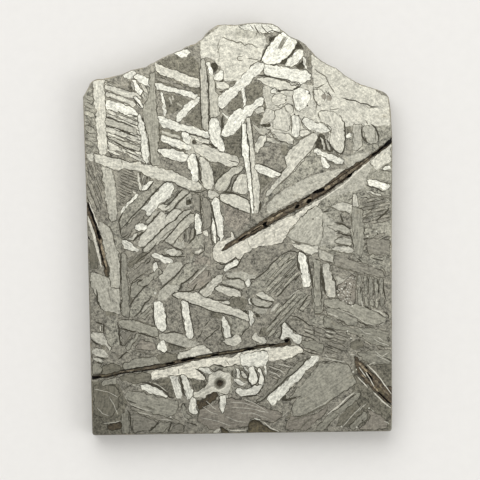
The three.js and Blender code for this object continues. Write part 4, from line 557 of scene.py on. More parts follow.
W -0.7,-16.6 0,-16.75 0.6,-17.3 0.3,-17.45 -0.3,-17.2 -0.65,-16.9
# Dull plates at the lower left
M -12.8,-18.2 -12.3,-17.8 -11,-18 -8.6,-18.7 -6.9,-19 -7.1,-20.5 -8.6,-20.8 -10.2,-20.4 -11.6,-19.6
  -12.7,-18.9
D -10,-15.9 -10,-16.7 -11.5,-17 -13.3,-16.6 -13.4,-16.2 -12,-15.9
D -15.3,-15.1 -14.4,-14.8 -13.3,-15 -13.3,-15.6 -15.2,-16
G -12.2,-19.5 -9.2,-20.6 -6.7,-21.2 -6.8,-21.5 -9.2,-21.1 -12.1,-20
E -13.3,-20.3 -12.5,-20.1 -12.3,-22.5 -13.2,-22.5
G -12,-20.3 -9.2,-21.3 -10,-22.1 -11.9,-22.5
E -9,-21.3 -7.7,-21.4 -8.6,-22.5 -10.3,-22.5
G -7.3,-21.7 -6.4,-21.6 -6.3,-22.5 -8,-22.5
D -9.2,-13.9 -8,-13.6 -7,-13.9 -7.1,-14.6 -8.8,-14.9
M -12.7,-13 -11.3,-11.4 -10.9,-11.5 -12.3,-13.2
R -10.9,-12.1 -9.3,-12.6 -9.3,-13.4 -11.6,-13.1
G -13.1,-11.2 -11.7,-11.4 -13,-12.9
D -16.3,-17.2 -14,-17.2 -13.4,-18.2 -13.7,-19.9 -14.6,-20.8 -16.2,-20.4
E -16.3,-14.8 -15.4,-14.6 -15.4,-15.8 -16.3,-15.9
# The pink ground at the foot and the plates round it
R -4.6,-20 -3,-19.6 -2.6,-18.9 -2.1,-20.6 -1.7,-19 -0.9,-18.8 0.8,-19.2 2.9,-19.9 4.8,-20.6 3.6,-21.6
  1.8,-20.9 1,-21.2 0.7,-22 -1.9,-22.2 -3,-22.3 -4.8,-21.3
E 7.9,-14.4 6.8,-14.7 4,-17.3 1.7,-19.2 2.4,-19.2 3.2,-18.6 5.3,-16.9
W 8.1,-14.2 8.8,-14.3 8.8,-14.7 7.6,-15.6 6.5,-16.9 5.2,-18.1 3.8,-19.6 3.4,-19.6 2.9,-18.9 3.2,-18.5
  5.2,-16.9 6.8,-15.3
M 8.9,-15 11.9,-15.1 12.9,-17.3 11,-18.5 9.6,-19.5 7.8,-20.5 5.9,-21 5.6,-20.2 5.9,-19.4 6.9,-18.6
  5.5,-18.9 6.3,-17.9 7.2,-17 8.2,-15.9
R 5.5,-20.9 8,-20.9 9.8,-19.8 9.4,-20.6 7.3,-22.4 4.8,-22.4
E 13.5,-18.4 12.9,-18.3 10.8,-20.1 9.7,-20.8 8.2,-22.5 9.2,-22.5 10.4,-21.2 12.4,-19.7
D 12.9,-19.3 11.2,-20.7 10.6,-21.9 12,-22.2 13.5,-20.5
E 13.8,-20.4 12,-22.2 12.7,-22.4 14.2,-21
R 14,-20.2 15.4,-20.9 16.2,-21.6 16.3,-22.4 13.1,-22.5 14.5,-21.1
# Greenish plates at the lower right
E 9.4,-9.8 12.6,-11.3 15,-11.2 16.5,-11.7 16.6,-13.3 14.8,-13 13.6,-12.2 12.2,-11.6 9.4,-11
E 13,-13.9 15,-13.7 16.8,-13.6 16.7,-15.2 14.7,-15.3 13.9,-14.8
D 12.5,-12.7 13.4,-12.5 13.8,-13.1 13,-13.6 12.3,-13.4
E 8.4,-8.7 9.2,-8.7 9.2,-9.5 8.4,-9.5
E 6.9,-12.6 8.3,-12.5 9.3,-13 9.2,-13.8 7.3,-13.4
# Dull plates at the middle left
G -12.9,-0.7 -12.7,0.2 -10.7,2.2 -10.1,2 -10.9,1 -11.6,0.4 -11.9,-0.3 -12.5,-0.9
P -10.2,1 -9.3,2.1 -8.7,2.1 -9.9,0.7
L -9,2.6 -8,2.9 -7.4,2.5 -8.3,2.1
L -7.9,-2.2 -7.2,-2 -6.6,-2.5 -7.2,-2.9 -8,-2.7
G -12.3,-4.9 -9.6,-2.9 -9.4,-3.4 -10,-4.2 -12.1,-5.9
D -12.2,-3.7 -10.5,-2.5 -10.1,-2.7 -12.1,-4.3
M -11.4,-6 -8.8,-4.2 -8.4,-4.7 -10.6,-6.3
G -5,3.9 -4.2,3.9 -4.1,1.9 -4.9,2.3
G -3.9,3.9 -3,3 -2.9,0.6 -3.8,-0.2
W -2.35,-18.5 -1.5,-18.4 -1.6,-19.2 -1.8,-20.2 -2,-20.6 -2.2,-20.2 -2.3,-19.3
L 2.5,11.6 3,12.6 3.2,13.4 4,13.2 4.3,12.4 3.9,11.8 3,11.7
P 1.7,11.8 2.5,11.2 3.3,11.3 3.7,10.7 3,10.3 2.4,10.6
P 9,-2.3 10.6,-3 10.5,-4 9,-3.4
R 10.95,-7.6 11,-6.6 12.7,-5.2 13,-6.2 12.9,-8.4 12.3,-8.6 11.2,-8
P -16.4,-4.5 -14.9,-5 -14.4,-5.4 -14.3,-6.3 -13.25,-6.5 -13.2,-9.3 -15.3,-8.7 -15.7,-7.5 -16.4,-6.2
M -13,-2.5 -12.5,-2.7 -12.35,-6 -12.15,-9.6 -13.05,-9.5
M -11.2,-9.7 -9.8,-8.3 -9.6,-9 -10.5,-9.9
D -16.5,-1 -16.1,-1.1 -15.75,-2.6 -15.6,-4.1 -16.45,-4.2
R -5.8,-6.2 -4.3,-5 -3.2,-4.4 -3.1,-5.6 -3.9,-6.3 -5,-6.8
"""

# Narrow dark ribs and grain borders: tone and width, then points along the line
SEAMS = """
D.14 -14.6,16.75 -13.3,16.3
D.12 -14.6,16.5 -13.7,16
D.14 -14.55,15.75 -12.66,14.9
D.16 -14.5,14.95 -13.55,14.6 -12.75,14.3 -11.95,13.98 -11.4,13.5
K.16 -11.43,14.73 -10.55,13.6
K.16 -14.55,12.7 -14,12.6 -13.45,12.2 -12.5,11.95 -11.2,11.35
K.18 -14.55,11.75 -14.05,11.5 -13.3,11.35 -12.45,10.97 -11.05,10.4
D.14 -14.4,10.65 -13,10.1 -11.95,9.75 -10.7,9.25
K.16 -14.1,10.2 -13,9.6 -12.5,9.25 -11.8,9 -10.7,8.7
K.16 -14.2,8.7 -13.95,8.2
K.15 -12.4,8.8 -10.8,8.1
K.18 -9.85,10.5 -9.75,9.3 -9.65,8.7 -9.65,7.3
K.15 -3.4,18.7 -3.2,17.2 -3.05,15.9 -3.05,13.5 -3.08,10.8
K.14 -4.1,18.5 -4,16.4 -3.95,13 -3.9,11.2
D.12 -1.75,20.3 -2,19.5
D.12 -1.5,21.2 -1.35,21.35 -0.9,21.1 -0.1,20.8
K.15 -5.8,10.9 -4.8,10.5 -3.95,10.3 -3.05,9.95
K.13 -0.9,7.65 0,7.4 0.1,7.3
D.1 -6.5,13.9 -5.9,13.4
D.12 0.8,19.2 0.3,19.15 0.15,18.9 0.35,18.7 0.8,18.7
D.14 -0.9,21 -0.4,21 0.1,20.7 0.6,20.8 1.05,20.4 1.45,20.55 1.9,20.5 2.2,20.2 2.55,20.15
D.12 2.7,20.4 3.15,20.4
D.12 1.3,18.95 2.4,18.75 2.65,18.45
D.12 2.05,22.7 2.45,21.9 2.3,21.4
D.12 2.9,22.7 3.05,22.2
D.12 3.55,22.65 3.2,22.4
D.12 1.3,22.5 1.65,22.5
K.13 3.2,21.45 3.65,21.85 4.1,22 4.5,21.9 5.2,21.55
K.12 3.65,21.4 3.9,21.2 4.1,21.3
K.18 3.9,20.6 3.5,20.2 3.2,19.6 2.95,19.1 2.65,18.5
K.22 2.4,17.1 3.1,17.05 4,16.8 5,16.6 6,16.4
K.14 6.4,16.35 7,16.15 7.15,15.9 7.05,15.7 6.35,15.35 5.6,15.35 4.8,15.3 4.4,15.45
G.3 4.8,19.95 5.2,20.6 5.6,21.3
D.1 4.65,19.9 5,20.6 5.45,21.35
D.1 4.9,19.75 5.35,20.45 5.75,21.2
K.13 1.1,11.5 1.15,10.5 1.4,9.2 1.35,8 1.45,7.2 1.5,6.5 1.6,5.6 1.68,4.4
K.15 0.55,11.9 0.55,10.6 0.5,9.4 0.55,8.3
K.14 1.5,12.3 1.72,10.8 1.85,9.4
D.2 5.75,10.6 6.15,10.15 6.7,9.8 7.3,9.95 7.85,10.25 8.6,10.75
D.16 3.65,10.85 3.95,10.45 4.1,10.05 4.75,9.55
D.14 6.05,12.6 6.15,11.3 6.1,10.7
D.14 6.2,14.9 6.4,13.7 6.6,13
G.12 5.6,13.9 6.3,13.65
G.12 5.35,13.3 5.8,12.8
G.12 5,13.2 5.3,13.9
G.12 4.35,13.5 5,13.4
D.14 7.4,12.1 7.15,11.8 7.45,11.2 7.8,11
D.14 8.6,15.75 8.5,15.15 8.6,14.4 8.9,13.85 8.85,13
D.14 9.1,12.75 9.2,12.1
D.14 8.65,11.75 9.15,11.6
D.15 9.2,11.8 9.65,11.65 10.3,11 10.55,10.5
D.15 8.7,15.7 8.95,15.55 9.25,15.65 9.85,16
D.15 8.7,17.7 9.3,17.2 10,16.8 10.35,15.85 11,14.95
D.12 10.4,13.1 11.4,13.2
K.16 11.65,14.45 12,14.35 12.55,14.15 13.3,14.05 13.8,13.75 14.5,13.7 15,13.4 15.8,13.35
D.12 14.3,13.5 14.7,13.25 15.4,13.35
K.14 10.05,9.75 10.75,8.65 11.6,8.1
K.15 11.95,11.75 12.05,11.2 12.05,9.8 11.95,8.85 11.65,8.1
K.24 13.9,10.95 13.95,10.1 14.25,9.7 14.5,9.35
D.15 14.35,11.9 14.6,11.45
K.2 14.9,11.5 15.4,11.1 15.75,10.1 15.7,9.5
D.12 15.35,10.8 15.45,9.5
D.15 8.6,9 9.3,8.75 10,8.5 10.6,8.2 11.2,7.95 11.7,7.65 12,7.5
D.14 9.8,7.9 9.95,7.6 10.2,7.35 10.7,7.15 11.2,7 11.7,7
M.12 16.1,6.7 16.5,7 17.1,7.2
D.13 15.8,6.2 16.5,6.25 17.1,6.15
D.15 15.2,5.4 15.6,5.2 16.1,5 16.7,4.9 17.2,4.7
K.18 14.3,4.75 14.8,4.5 15.3,4.4 15.8,4.1 16.1,3.95 16.5,3.9
D.13 14.2,4 14.6,3.6 15,3.35 15.8,3.35 16.5,3.25 17.1,3
D.13 3.9,4.2 5,5.2 6,6.1 6.9,7.2 8,8.4 8.5,8.95
M.13 5.6,4.7 6.3,5.1 6.8,5.3
D.12 2.9,2.6 3.3,3 3.9,3.4 4.7,4.2 5,4.6
K.28 2.55,3 2.45,1.9
L.14 2.8,2.35 3.1,2.9
K.14 1.4,3.2 1.4,2 1.4,0.9
D.14 2.1,6.5 2.35,6.1 2.45,5.5 2.55,5 2.6,4.4 2.55,3.9
K.15 2.1,7.3 3,7.05 3.8,6.65 4.4,6.35 4.8,6.2 5.1,6.4 5.5,6.85
D.12 4,5.4 3.5,4.8 3,4.25 2.7,4.05
D.13 -15.8,7.6 -15.5,7.5 -15.1,7.35 -14.8,7.2
K.14 -14.7,8.4 -13.8,8.1 -13.2,8.05 -12.4,7.75 -11.9,7.6 -11.2,7.6
D.12 -12.85,7.9 -12.75,7.25
D.12 -13,3.5 -12.7,3.25 -12.3,3.2
K.14 -10.9,4.35 -10.3,4.35 -10.05,4.4 -9.6,4.9 -9.3,5.4
K.18 -6.75,4.95 -6.95,5.2 -7.3,5.35 -7.8,5.35 -8.2,5.2 -8.5,4.9 -9,4.45 -9.5,3.9 -10,3.35 -10.6,2.6
  -11.2,2.05 -11.8,1.5 -12.3,0.85 -13,0.2
K.18 -10.1,0.45 -9.3,1.3 -8.6,2.1
D.14 -10.75,0.95 -10.4,1.5
D.12 -10.8,0.85 -10.4,0.75 -10.05,0.5
D.13 -15.4,1.05 -15,0.95 -14.6,0.65 -14.15,0.2 -13.95,-0.2 -13.85,-0.8 -13.8,-1.4
G.12 -14.5,-6.2 -14.45,-7 -14.3,-7.6 -14.25,-8
K.2 -12.75,2 -13.1,1.4 -13.25,1 -13.15,0.5 -13.05,0 -13,-0.6
K.2 -10.3,-0.1 -10.8,-0.4 -11.2,-0.7 -11.75,-1.3
K.14 -13,-0.9 -12.7,-0.75 -12.2,-0.45
K.14 -12.95,-0.95 -12.4,-1.05 -12,-1.3
K.15 -12.85,-2 -12.6,-2.15 -12.2,-2.2
K.17 -5.3,2.25 -6,2.1 -6.6,1.6 -6.9,1.1 -7.5,0.8 -8,0.45 -8.5,-0.05 -8.9,-0.4 -9.5,-1.05 -10,-1.45
  -10.4,-1.9 -10.65,-2.1
D.16 -12.3,-3.6 -12,-3.4 -11.7,-3.1 -11.5,-2.8 -11.3,-2.6
K.16 -11.5,-3.7 -11.1,-3.3 -10.8,-3 -10.3,-2.75 -9.9,-2.45 -9.4,-1.9 -9,-1.3
D.14 -12.5,-4.4 -12.1,-4.6
D.14 -12.35,-4.6 -12.5,-5 -12.45,-5.4
D.14 -12.35,-6 -12.2,-5.7
K.2 -9.7,-3.1 -9.9,-3.5 -10.3,-3.8
D.16 -10.9,-4.6 -11.3,-4.9
D.14 -9.9,-4.3 -10.9,-5.2
K.17 -13,-2.4 -13.1,-3.3 -13.1,-4.6 -13.15,-6
K.16 -8.85,-4.5 -8.85,-5
K.16 -9.4,-5.1 -9.5,-5.5 -9.7,-5.6
D.14 -16.5,-4.1 -16,-4.25 -15.65,-4.25
K.17 -15.8,-6.5 -15.75,-7.3 -15.75,-7.8 -15.6,-8.2 -15.3,-8.5
K.22 -4.6,8.4 -4.4,7.7 -4.25,7 -4.15,6.3 -4.1,5.5 -3.95,5.1
D.15 -3.8,8.1 -3.5,7.8 -3,7.45 -2.3,7.35 -1.7,7.15 -1.2,6.9 -0.7,6.85
K.14 -0.7,6.8 -1,6.5 -1.6,6.1 -2.1,5.6 -2.4,5.2 -2.55,4.9
K.15 0.7,6.6 0.2,6.15 -0.4,5.9 -0.65,5.6 -0.75,5.2 -0.9,4.7 -1.2,4.3 -1.5,4.2
K.18 0.2,6.1 -0.1,5.7 -0.45,5.1 -0.6,4.6 -0.75,4.1
K.16 -2.1,4 -1,4 -0.3,3.95 0.1,3.8 0.4,3.6 0.8,3.4 1.2,3.25 1.35,3.1
K.2 -1.6,4.15 -0.4,4.1
K.16 -2,3.3 -1.6,2.95 -1,2.65 -0.4,2.35 0.1,2.15 0.7,1.95 1.3,1.7
K.2 -3,3.1 -2.95,2.6 -2.8,2.1 -2.75,1.6 -2.55,0.9 -2.4,0.1 -2.35,-0.5 -2.2,-1
K.16 -2.95,1.8 -2.95,1 -3,0.4 -3.05,-0.3 -2.95,-1.1 -2.85,-1.8
K.22 -2.3,-0.6 -2.1,-1 -2.1,-1.3
K.14 -5.3,4.3 -5,4.2 -4.6,4.1 -4.1,4.1 -3.6,4.35 -3.3,4.15
K.15 -4.15,4 -4.15,2 -4,1
K.15 -6.8,5 -6.4,4.8 -6,4.6 -5.4,4.45
K.16 -6.15,4.45 -6.7,3.9 -7.1,3.4 -7.6,2.85 -8.1,2.4
K.14 -8.5,2.95 -8.1,2.9 -7.75,2.75
K.17 -5.3,4.1 -5.8,3.7 -6.3,3.35 -6.7,2.85 -7,2.4 -7.4,2.1 -7.8,1.8 -8,1.5 -8.1,1.25
K.17 -5,2.05 -5.5,1.7 -6,1.3 -6.5,0.8 -6.8,0.4 -7,0.2 -7.5,-0.4 -8.1,-1 -8.5,-1.4
D.13 -7.1,0.25 -7.6,-0.1 -8.2,-0.6 -8.5,-0.9
K.13 -4.85,1.6 -4.8,1.2
K.2 -4.9,0.85 -4.85,0.2 -4.75,-0.5 -4.9,-0.9 -5.3,-1.3 -5.5,-1.6
P.12 -5.6,0 -5.6,-1.3
D.13 -5.85,0.05 -6.3,-0.5 -6.8,-1 -7.2,-1.5
K.15 -7.6,-1.6 -7.1,-1.95 -6.6,-2.15 -6.2,-2.25 -6.05,-2.4
K.18 -8.6,-2.6 -8.3,-2.8 -7.7,-2.95 -7.1,-3 -6.4,-2.95 -5.9,-3
D.14 -3.5,0 -3.25,-0.3 -3.15,-0.6
K.15 -5.1,-2.6 -4.7,-2.8 -4.4,-2.85 -4.1,-2.6 -3.8,-2.4 -3.75,-2 -3.8,-1.6
K.16 -2.6,-3.8 -2.2,-3.7 -1.9,-3.9 -1.4,-3.9 -0.9,-3.55 -0.3,-3.1 0,-3.4
K.2 0.5,-3.1 0.3,-3.4 0.1,-3.8 -0.2,-4.2 -0.6,-4.3 -1.1,-4.55
K.14 -2.4,-4 -2.4,-4.4 -2,-4.45 -1.75,-4.4 -1.5,-4
P.1 -3.4,-3.7 -4.2,-4.6 -4.9,-5.4
K.14 -3.5,-3.6 -3.75,-3.95
K.2 -4.3,-4.4 -4.7,-4.7 -5,-5.1 -5.5,-5.5 -6,-5.8 -6.35,-6 -6.4,-6.4 -6.6,-6.7 -6.9,-6.8
K.16 -3.3,-4.5 -3.4,-5.3
K.2 -5.5,-3.7 -5.9,-3.8 -6.3,-4.3 -6.7,-4.8 -7,-5.15 -7.5,-5.55 -8,-5.9 -8.4,-6.3 -8.75,-6.7
K.14 -9,-6.6 -9,-7
K.18 -1.5,-5.2 -1.2,-5.45 -0.8,-5.55 -0.4,-5.45 0,-5.5 0.4,-5.6
D.18 9.8,2.3 10.2,2.35 10.7,2.2 11.1,2.05
K.25 9.4,1.75 9.8,1.8 10.15,1.85
D.14 11.1,1.9 11.6,1.8 12.1,1.65 12.4,1.5
K.2 11.4,1.5 11.7,0.6
D.14 12.55,1.4 12.6,0.2
K.2 10.7,0.55 11.5,0.45 11.9,0.25 12.2,0 12.6,-0.1
K.14 12.2,3.05 12.6,3.2 12.9,3.5
K.15 13.2,3.6 13.4,3.2
K.15 13.95,3.35 14.3,3.3 14.6,3.05
D.14 15.1,2.1 14.9,1.9 14.6,1.5 14.2,1.2 13.7,0.9
K.2 16.8,2.15 16.6,1.8 16.3,1.5 16,1.25 15.7,1 15.4,0.75 15.6,0.6
D.17 5.3,-1 5.5,-0.6 5.8,-0.2 6.3,0.2
D.14 5.7,-1.1 6.2,-1.4 7,-1.65 7.5,-1.75 8.1,-1.8
M.12 6.65,-0.1 6.65,-1.4
K.15 4.5,-3.1 4.8,-2.9 5.3,-2.7 5.6,-2.55 5.9,-2.5 6.3,-2.6 6.6,-2.75 6.8,-2.55 7,-2.55 7.3,-2.8
  7.5,-3.05 7.8,-3.1 8.2,-3
K.2 6.55,-2.8 6.55,-3.5 6.6,-4.2 6.8,-4.8
K.24 7.75,-3.1 7.75,-3.8 7.85,-4.4 8,-5 8.15,-5.6 8.2,-6.6
K.16 4.7,-2.9 4.4,-3.3 3.5,-4.1 3.2,-4.5 2.9,-4.8 2.5,-5.1 2.1,-5.4 1.8,-5.6 1.4,-5.7
L.2 4.4,-5.8 4.9,-5.3
P.2 5.8,-5.1 6.2,-5.3
K.16 5.3,-3.9 5.7,-3.55 6.1,-3.35
K.16 5,-5.6 5.6,-5.1
K.18 6.1,-5.8 6.5,-5.5 6.8,-5.1
K.2 5.6,-6.1 5.1,-6.7 4.7,-7.2 4.4,-7.5 4.2,-7.6
K.15 0.5,-5.7 0.75,-6.2
K.15 1.6,-5.8 1.4,-6 1.3,-6.3
K.15 1.3,-5.6 1.9,-5.6
K.2 10.9,-0.6 11.4,-0.6 11.7,-0.8 12.1,-0.88 12.5,-0.85 12.6,-1.1 12.75,-1.5 12.8,-2
D.15 10.7,-1.65 11.2,-1.9 11.8,-2.03 12.4,-2.05 12.7,-2.3 12.9,-2.5
M.13 10.2,-2.15 10.5,-2.05 11.2,-2.05
D.15 10,-2.5 10.5,-2.55 11.2,-2.75 12,-2.85 12.6,-2.9 12.9,-3 13,-3.3
G.14 8.9,-2.3 9.4,-2.5 10,-2.75 10.6,-2.95 11.3,-3.05 12,-3.3 12.5,-3.5
K.18 13.1,-3.4 13.7,-3.8
D.16 9.4,-3.6 10,-3.85 10.5,-4.1 11.2,-4.35 11.8,-4.6 12.5,-4.8 13,-5 13.2,-5.3 13.2,-6
K.15 8.5,-3.4 9,-3.6
K.15 8.7,-3.7 8.7,-4.1
K.28 9.2,-4.2 9.2,-5 9.3,-5.7 9.4,-6.3 9.5,-6.8 9.6,-7.3
K.15 9.05,-5 9.1,-6 9.15,-7 9.25,-7.6 9.2,-8.2
D.12 10.15,-4.2 10.1,-4.7 10.3,-4.9 10.45,-4.7 10.45,-4.2
K.14 10.45,-4.9 10.5,-5.5 10.75,-5.9 10.85,-6.5 10.85,-7.2 10.8,-7.7
K.15 10.5,-7.85 10.9,-7.75
K.15 9.85,-7.6 10.1,-7.8
K.15 14.2,-0.8 14.6,-0.75
D.14 14.5,0 14.9,-0.2 15.4,-0.25
K.16 14.7,-3.35 15.1,-3.5 15.6,-3.65 16.1,-3.75
D.14 14.1,-3.05 14.5,-3.2
G.14 13.75,-3.7 13.8,-3.4 14,-3.25 14.2,-3.4 14.25,-3.9 14.5,-4.2
K.14 14.9,-3.9 14.9,-4.15
K.14 15.8,-4.1 16.1,-4.3
D.14 15.8,-4.3 16.2,-4.8 16.4,-5.3
D.14 13.5,-5.2 14.1,-5.4 14.8,-5.5 15.4,-5.8 15.5,-6.2
K.2 15.35,-5.8 15.5,-6.5
K.14 14.3,-5.5 14.5,-6.2
K.2 -13.2,-7.9 -13.2,-8.5 -13.15,-8.9
D.14 -12.15,-6.5 -12.1,-7.2 -12,-7.9
K.15 -10,-6.1 -10.5,-6.3 -10.9,-6.8 -11.3,-7.2 -11.7,-7.7 -12,-8.2 -12.1,-8.7
K.15 -9.7,-7.3 -10,-7.8 -10.4,-8.1 -10.7,-8.5 -11,-9 -11.4,-9.4 -11.7,-9.65
D.14 -9.6,-8.7 -10,-9 -10.4,-9.4 -10.7,-9.6
K.18 -9.5,-8 -9.55,-9 -9.5,-10 -9.35,-10.8
D.14 -11.9,-9.85 -11.2,-10 -10.8,-10.2 -10.2,-10.45 -9.7,-10.6 -9.3,-10.7
K.18 -13.4,-10.9 -12.9,-10.95 -12.3,-11.1 -11.9,-11.25 -11.4,-11.3
K.2 -11.1,-11.4 -10.5,-11.6 -9.9,-11.8 -9.4,-11.95 -9.1,-12.1
K.2 -13.55,-10.2 -13.45,-10.6 -13.35,-10.9 -13.4,-11.5 -13.3,-12.2 -13.2,-12.7 -13,-12.8
D.14 -11.9,-11.4 -12.3,-11.9 -12.7,-12.4 -12.95,-12.7
D.14 -11.15,-11.5 -11.3,-12 -11.7,-12.5 -12,-12.8
K.2 -15.05,-10.3 -15.1,-10.8 -15.05,-11.4
K.18 -15.9,-10.15 -15.4,-10.3 -15.1,-10.4
K.2 -16.5,-12 -16.2,-12.3 -15.9,-12.55 -15.5,-12.7
K.18 -15.9,-13.9 -15.5,-14.1 -15,-14.25 -14.7,-14.2
K.16 -15.9,-14.6 -15.4,-14.8
K.18 -13.5,-14.3 -13.2,-14.1 -12.9,-13.8 -12.6,-13.55 -12.3,-13.6
D.16 -12,-13.3 -11,-13.5 -10.2,-13.75 -9.4,-13.8 -9,-13.7
D.13 -11.5,-13.9 -11,-14.1 -10.2,-14.15
K.2 -6.8,-6.8 -6.2,-6.9 -5.6,-6.85 -5.1,-6.75 -4.9,-6.4 -4.6,-6
K.14 -4.6,-7.1 -4.2,-6.6 -3.7,-6.2 -3.3,-5.8
K.14 -7.5,-7.3 -7.1,-7.5 -6.7,-7.7
K.16 -6.3,-7.65 -6,-7.8 -5.7,-8.05 -5.2,-8.25 -4.6,-8.45 -4,-8.65 -3.3,-9 -2.7,-9.2 -2.2,-9.3
  -1.8,-9.35 -1.3,-9.55 -0.7,-9.65 0,-9.9 0.5,-10.15
M.1 -4.2,-8.4 -3.4,-8.55 -3,-8.6
K.13 -8.15,-8.5 -8.1,-9.5 -8.05,-10.9
K.15 -8.6,-11.4 -8.2,-11.5 -7.7,-11.35 -7.2,-11.35 -6.7,-11.5 -6.3,-11.55
K.13 -6.5,-8.1 -6.4,-9.3 -6.2,-10.5 -6.1,-11.6
K.13 -5.55,-8.4 -5.4,-9.6 -5.2,-10.8 -5.05,-11.8
K.14 -3.4,-10.2 -3.9,-10.8
K.14 -4.1,-11.1 -4.3,-11.6 -4.6,-12 -4.8,-12.2
K.13 -2.1,-10.9 -2.7,-11.3 -3.2,-11.8 -3.7,-12.1 -4,-12.5
K.16 -1.95,-10.2 -1.97,-11.2 -1.85,-11.9 -1.6,-12.4
D.14 -1.4,-9.7 -1.15,-10.3 -0.9,-10.8 -0.85,-11.3 -0.9,-11.8
K.15 1.2,-10.6 1,-11 0.5,-11.4 0.3,-11.8 0.1,-11.9
K.2 -8.1,-12.45 -7.6,-12.7 -7,-12.85 -6.4,-13.05 -5.9,-13.2
K.17 -2.2,-6.1 -1.6,-6.25 -1,-6.4 -0.4,-6.6 0.1,-6.75 0.5,-6.9
G.12 -2.8,-6.9 -2,-7 -1.6,-7.25 -1.2,-7.45 -0.9,-7.5
K.14 -3.3,-7.6 -2.6,-7.9 -1.8,-7.95 -1.1,-7.9 -0.8,-7.6 -0.4,-7.5
K.14 -3.8,-7.55 -3.4,-7.45
K.13 -1.8,-8.3 -1.3,-8.4 -1,-8.4
K.16 1.9,-7.4 2.3,-7.65 2.7,-7.9 3.2,-8 3.7,-8.15 3.9,-8.3
K.15 3.85,-8.3 3.6,-8.5 3.3,-8.8 2.8,-8.8 2.1,-8.65 1.7,-8.5 1.45,-8.25 1.4,-7.9 1.35,-7.7
K.15 7.1,-6.5 6.9,-6.7 6.5,-6.9 6.2,-7.2 5.8,-7.7 5.3,-8.1 4.9,-8.5 4.7,-8.7
L.12 6.7,-6.85 6,-7.3 5.5,-7.75
K.15 4.7,-9.1 4.4,-9.5 4,-10 3.6,-10.4 3.3,-10.7
L.35 3.5,-9.2 4,-8.75 4.5,-8.25
K.16 8.1,-7.4 7.7,-7.5 7.5,-7.8 7.2,-8.3 6.8,-8.8 6.4,-8.9 6.9,-9.2 7.2,-9.3
K.17 5.6,-9.7 6.3,-9.8 7,-10.2 7.4,-10.5 7.8,-10.8 8.4,-10.85
D.14 5.5,-10.1 6.2,-10.15 7,-10.35
L.2 7.1,-11.25 7.6,-11.4 8.2,-11.6
K.15 7.2,-11.5 8.2,-11.9
K.15 6.5,-11.75 7.2,-12 7.9,-12.2 8.5,-12.5
K.18 5.1,-10.35 5.4,-10.6 5.7,-11 6,-11.3 6.4,-11.6
K.2 4.9,-10.4 4.6,-10.7 4.7,-11 4.7,-11.5 4.55,-12 4.4,-12.3
K.13 2.5,-11 2.3,-11.4 2.2,-11.8
K.13 2.95,-12.1 3,-12.4
K.15 8.15,-5.2 8.15,-6.6
D.14 8.1,-7.5 8.1,-9
D.15 13,-5.2 13.1,-5.6 13.05,-6.2 13.1,-7
K.16 13.45,-6.5 13.6,-6.8 13.5,-7.3
K.18 14.9,-7.1 15,-7.6
K.16 15.5,-6.8 15.5,-7.4
K.15 16.05,-6 16.1,-6.9 16.25,-7.6 16.3,-8.1
L.25 13.6,-8.1 13.75,-8.8
D.16 13.95,-8.1 14,-8.8
L.1 10.9,-9 11.8,-9.4 12.8,-9.8 13.5,-10.3 14.2,-10.7 15.1,-10.85
K.14 13.1,-10.3 13.5,-10.6 14,-10.8 14.4,-10.98 15,-11.02
D.15 8.3,-9.6 9.2,-9.65 9.8,-9.7 10.4,-10
L.16 9.9,-9.5 11,-9.9
K.18 9.2,-11.1 9.8,-11.2 10.4,-11.4 10.8,-11.6
L.18 9.5,-11.4 10.1,-11.6 10.7,-11.75
K.15 9.5,-11.6 10,-11.8 10.5,-11.95
L.18 9.5,-11.8 10.1,-12.05 10.5,-12.1
K.15 9.4,-12.1 9.9,-12.3 10.5,-12.35
K.14 8.3,-11 8.3,-12
K.18 16,-9.3 16.3,-9.6 16.6,-9.8 16.6,-10.1
D.14 14.2,-8.3 14.5,-8.65 15,-8.85 15.5,-9.1
D.14 15.4,-8.2 15.8,-8.6
D.14 15.2,-12.5 15.6,-12.7 16,-12.8
L.14 15.3,-12.2 16,-12.6
L.12 15,-13.7 15.4,-14.1 15.8,-14.4 16.1,-14.2 16.6,-13.9
K.14 15.9,-14.4 16.4,-14.6 16.9,-14.9
L.13 14.3,-15.3 15.1,-15
K.15 9.1,-14.8 9.5,-14.9 9.9,-14.8
K.15 10.4,-14.8 11.1,-14.8
L.15 9.4,-14 9.8,-14.4
D.16 10.1,-14.4 10.5,-14.5 11.2,-14.7
K.14 9.5,-13.1 10,-13.35 10.5,-13.5
D.16 9,-14.8 8.5,-15.3 8.1,-15.6
L.2 12.2,-14.15 12.8,-14.15
L.14 12.5,-13.6 12.9,-13.75
K.15 7.1,-13.5 7.6,-13.75 8.1,-13.95 8.8,-14.05
K.2 -10.9,-16.9 -10.3,-16.95 -9.8,-17.1 -9.3,-17.35 -8.9,-17.6 -8.4,-17.95 -8.1,-18.2 -7.95,-18.5
  -7.8,-18.65 -7.3,-18.65
L.12 -9.7,-16.95 -9.2,-17.15 -8.7,-17.5 -8.2,-17.95
L.12 -12,-17.05 -11.6,-17.3 -11.1,-17.4
D.18 -13,-17.4 -12.9,-17.7 -12.6,-17.5 -12.4,-17.3 -12,-17.3
L.14 -12.7,-18.2 -12.75,-18.6 -12.5,-18.9
K.14 -12.7,-18.5 -12.5,-18.9 -12.1,-19.05 -11.5,-19.3
D.15 -10.9,-19.6 -10.3,-19.65 -9.8,-19.9 -9.4,-20.1
K.13 -6.9,-15.4 -6.75,-15.7 -6.8,-16
K.17 -5,-15.45 -4.6,-15.7 -4.2,-16 -3.9,-16.2 -3.8,-16.5 -3.65,-16.9
K.15 -3.3,-15.4 -3,-15.7 -2.8,-15.85 -2.4,-15.6 -1.9,-15.5
K.13 -2.9,-15 -2.4,-15.15 -1.9,-15.3 -1.4,-15.4
D.12 -1.6,-14.5 -1.3,-14.9 -1.1,-15.1
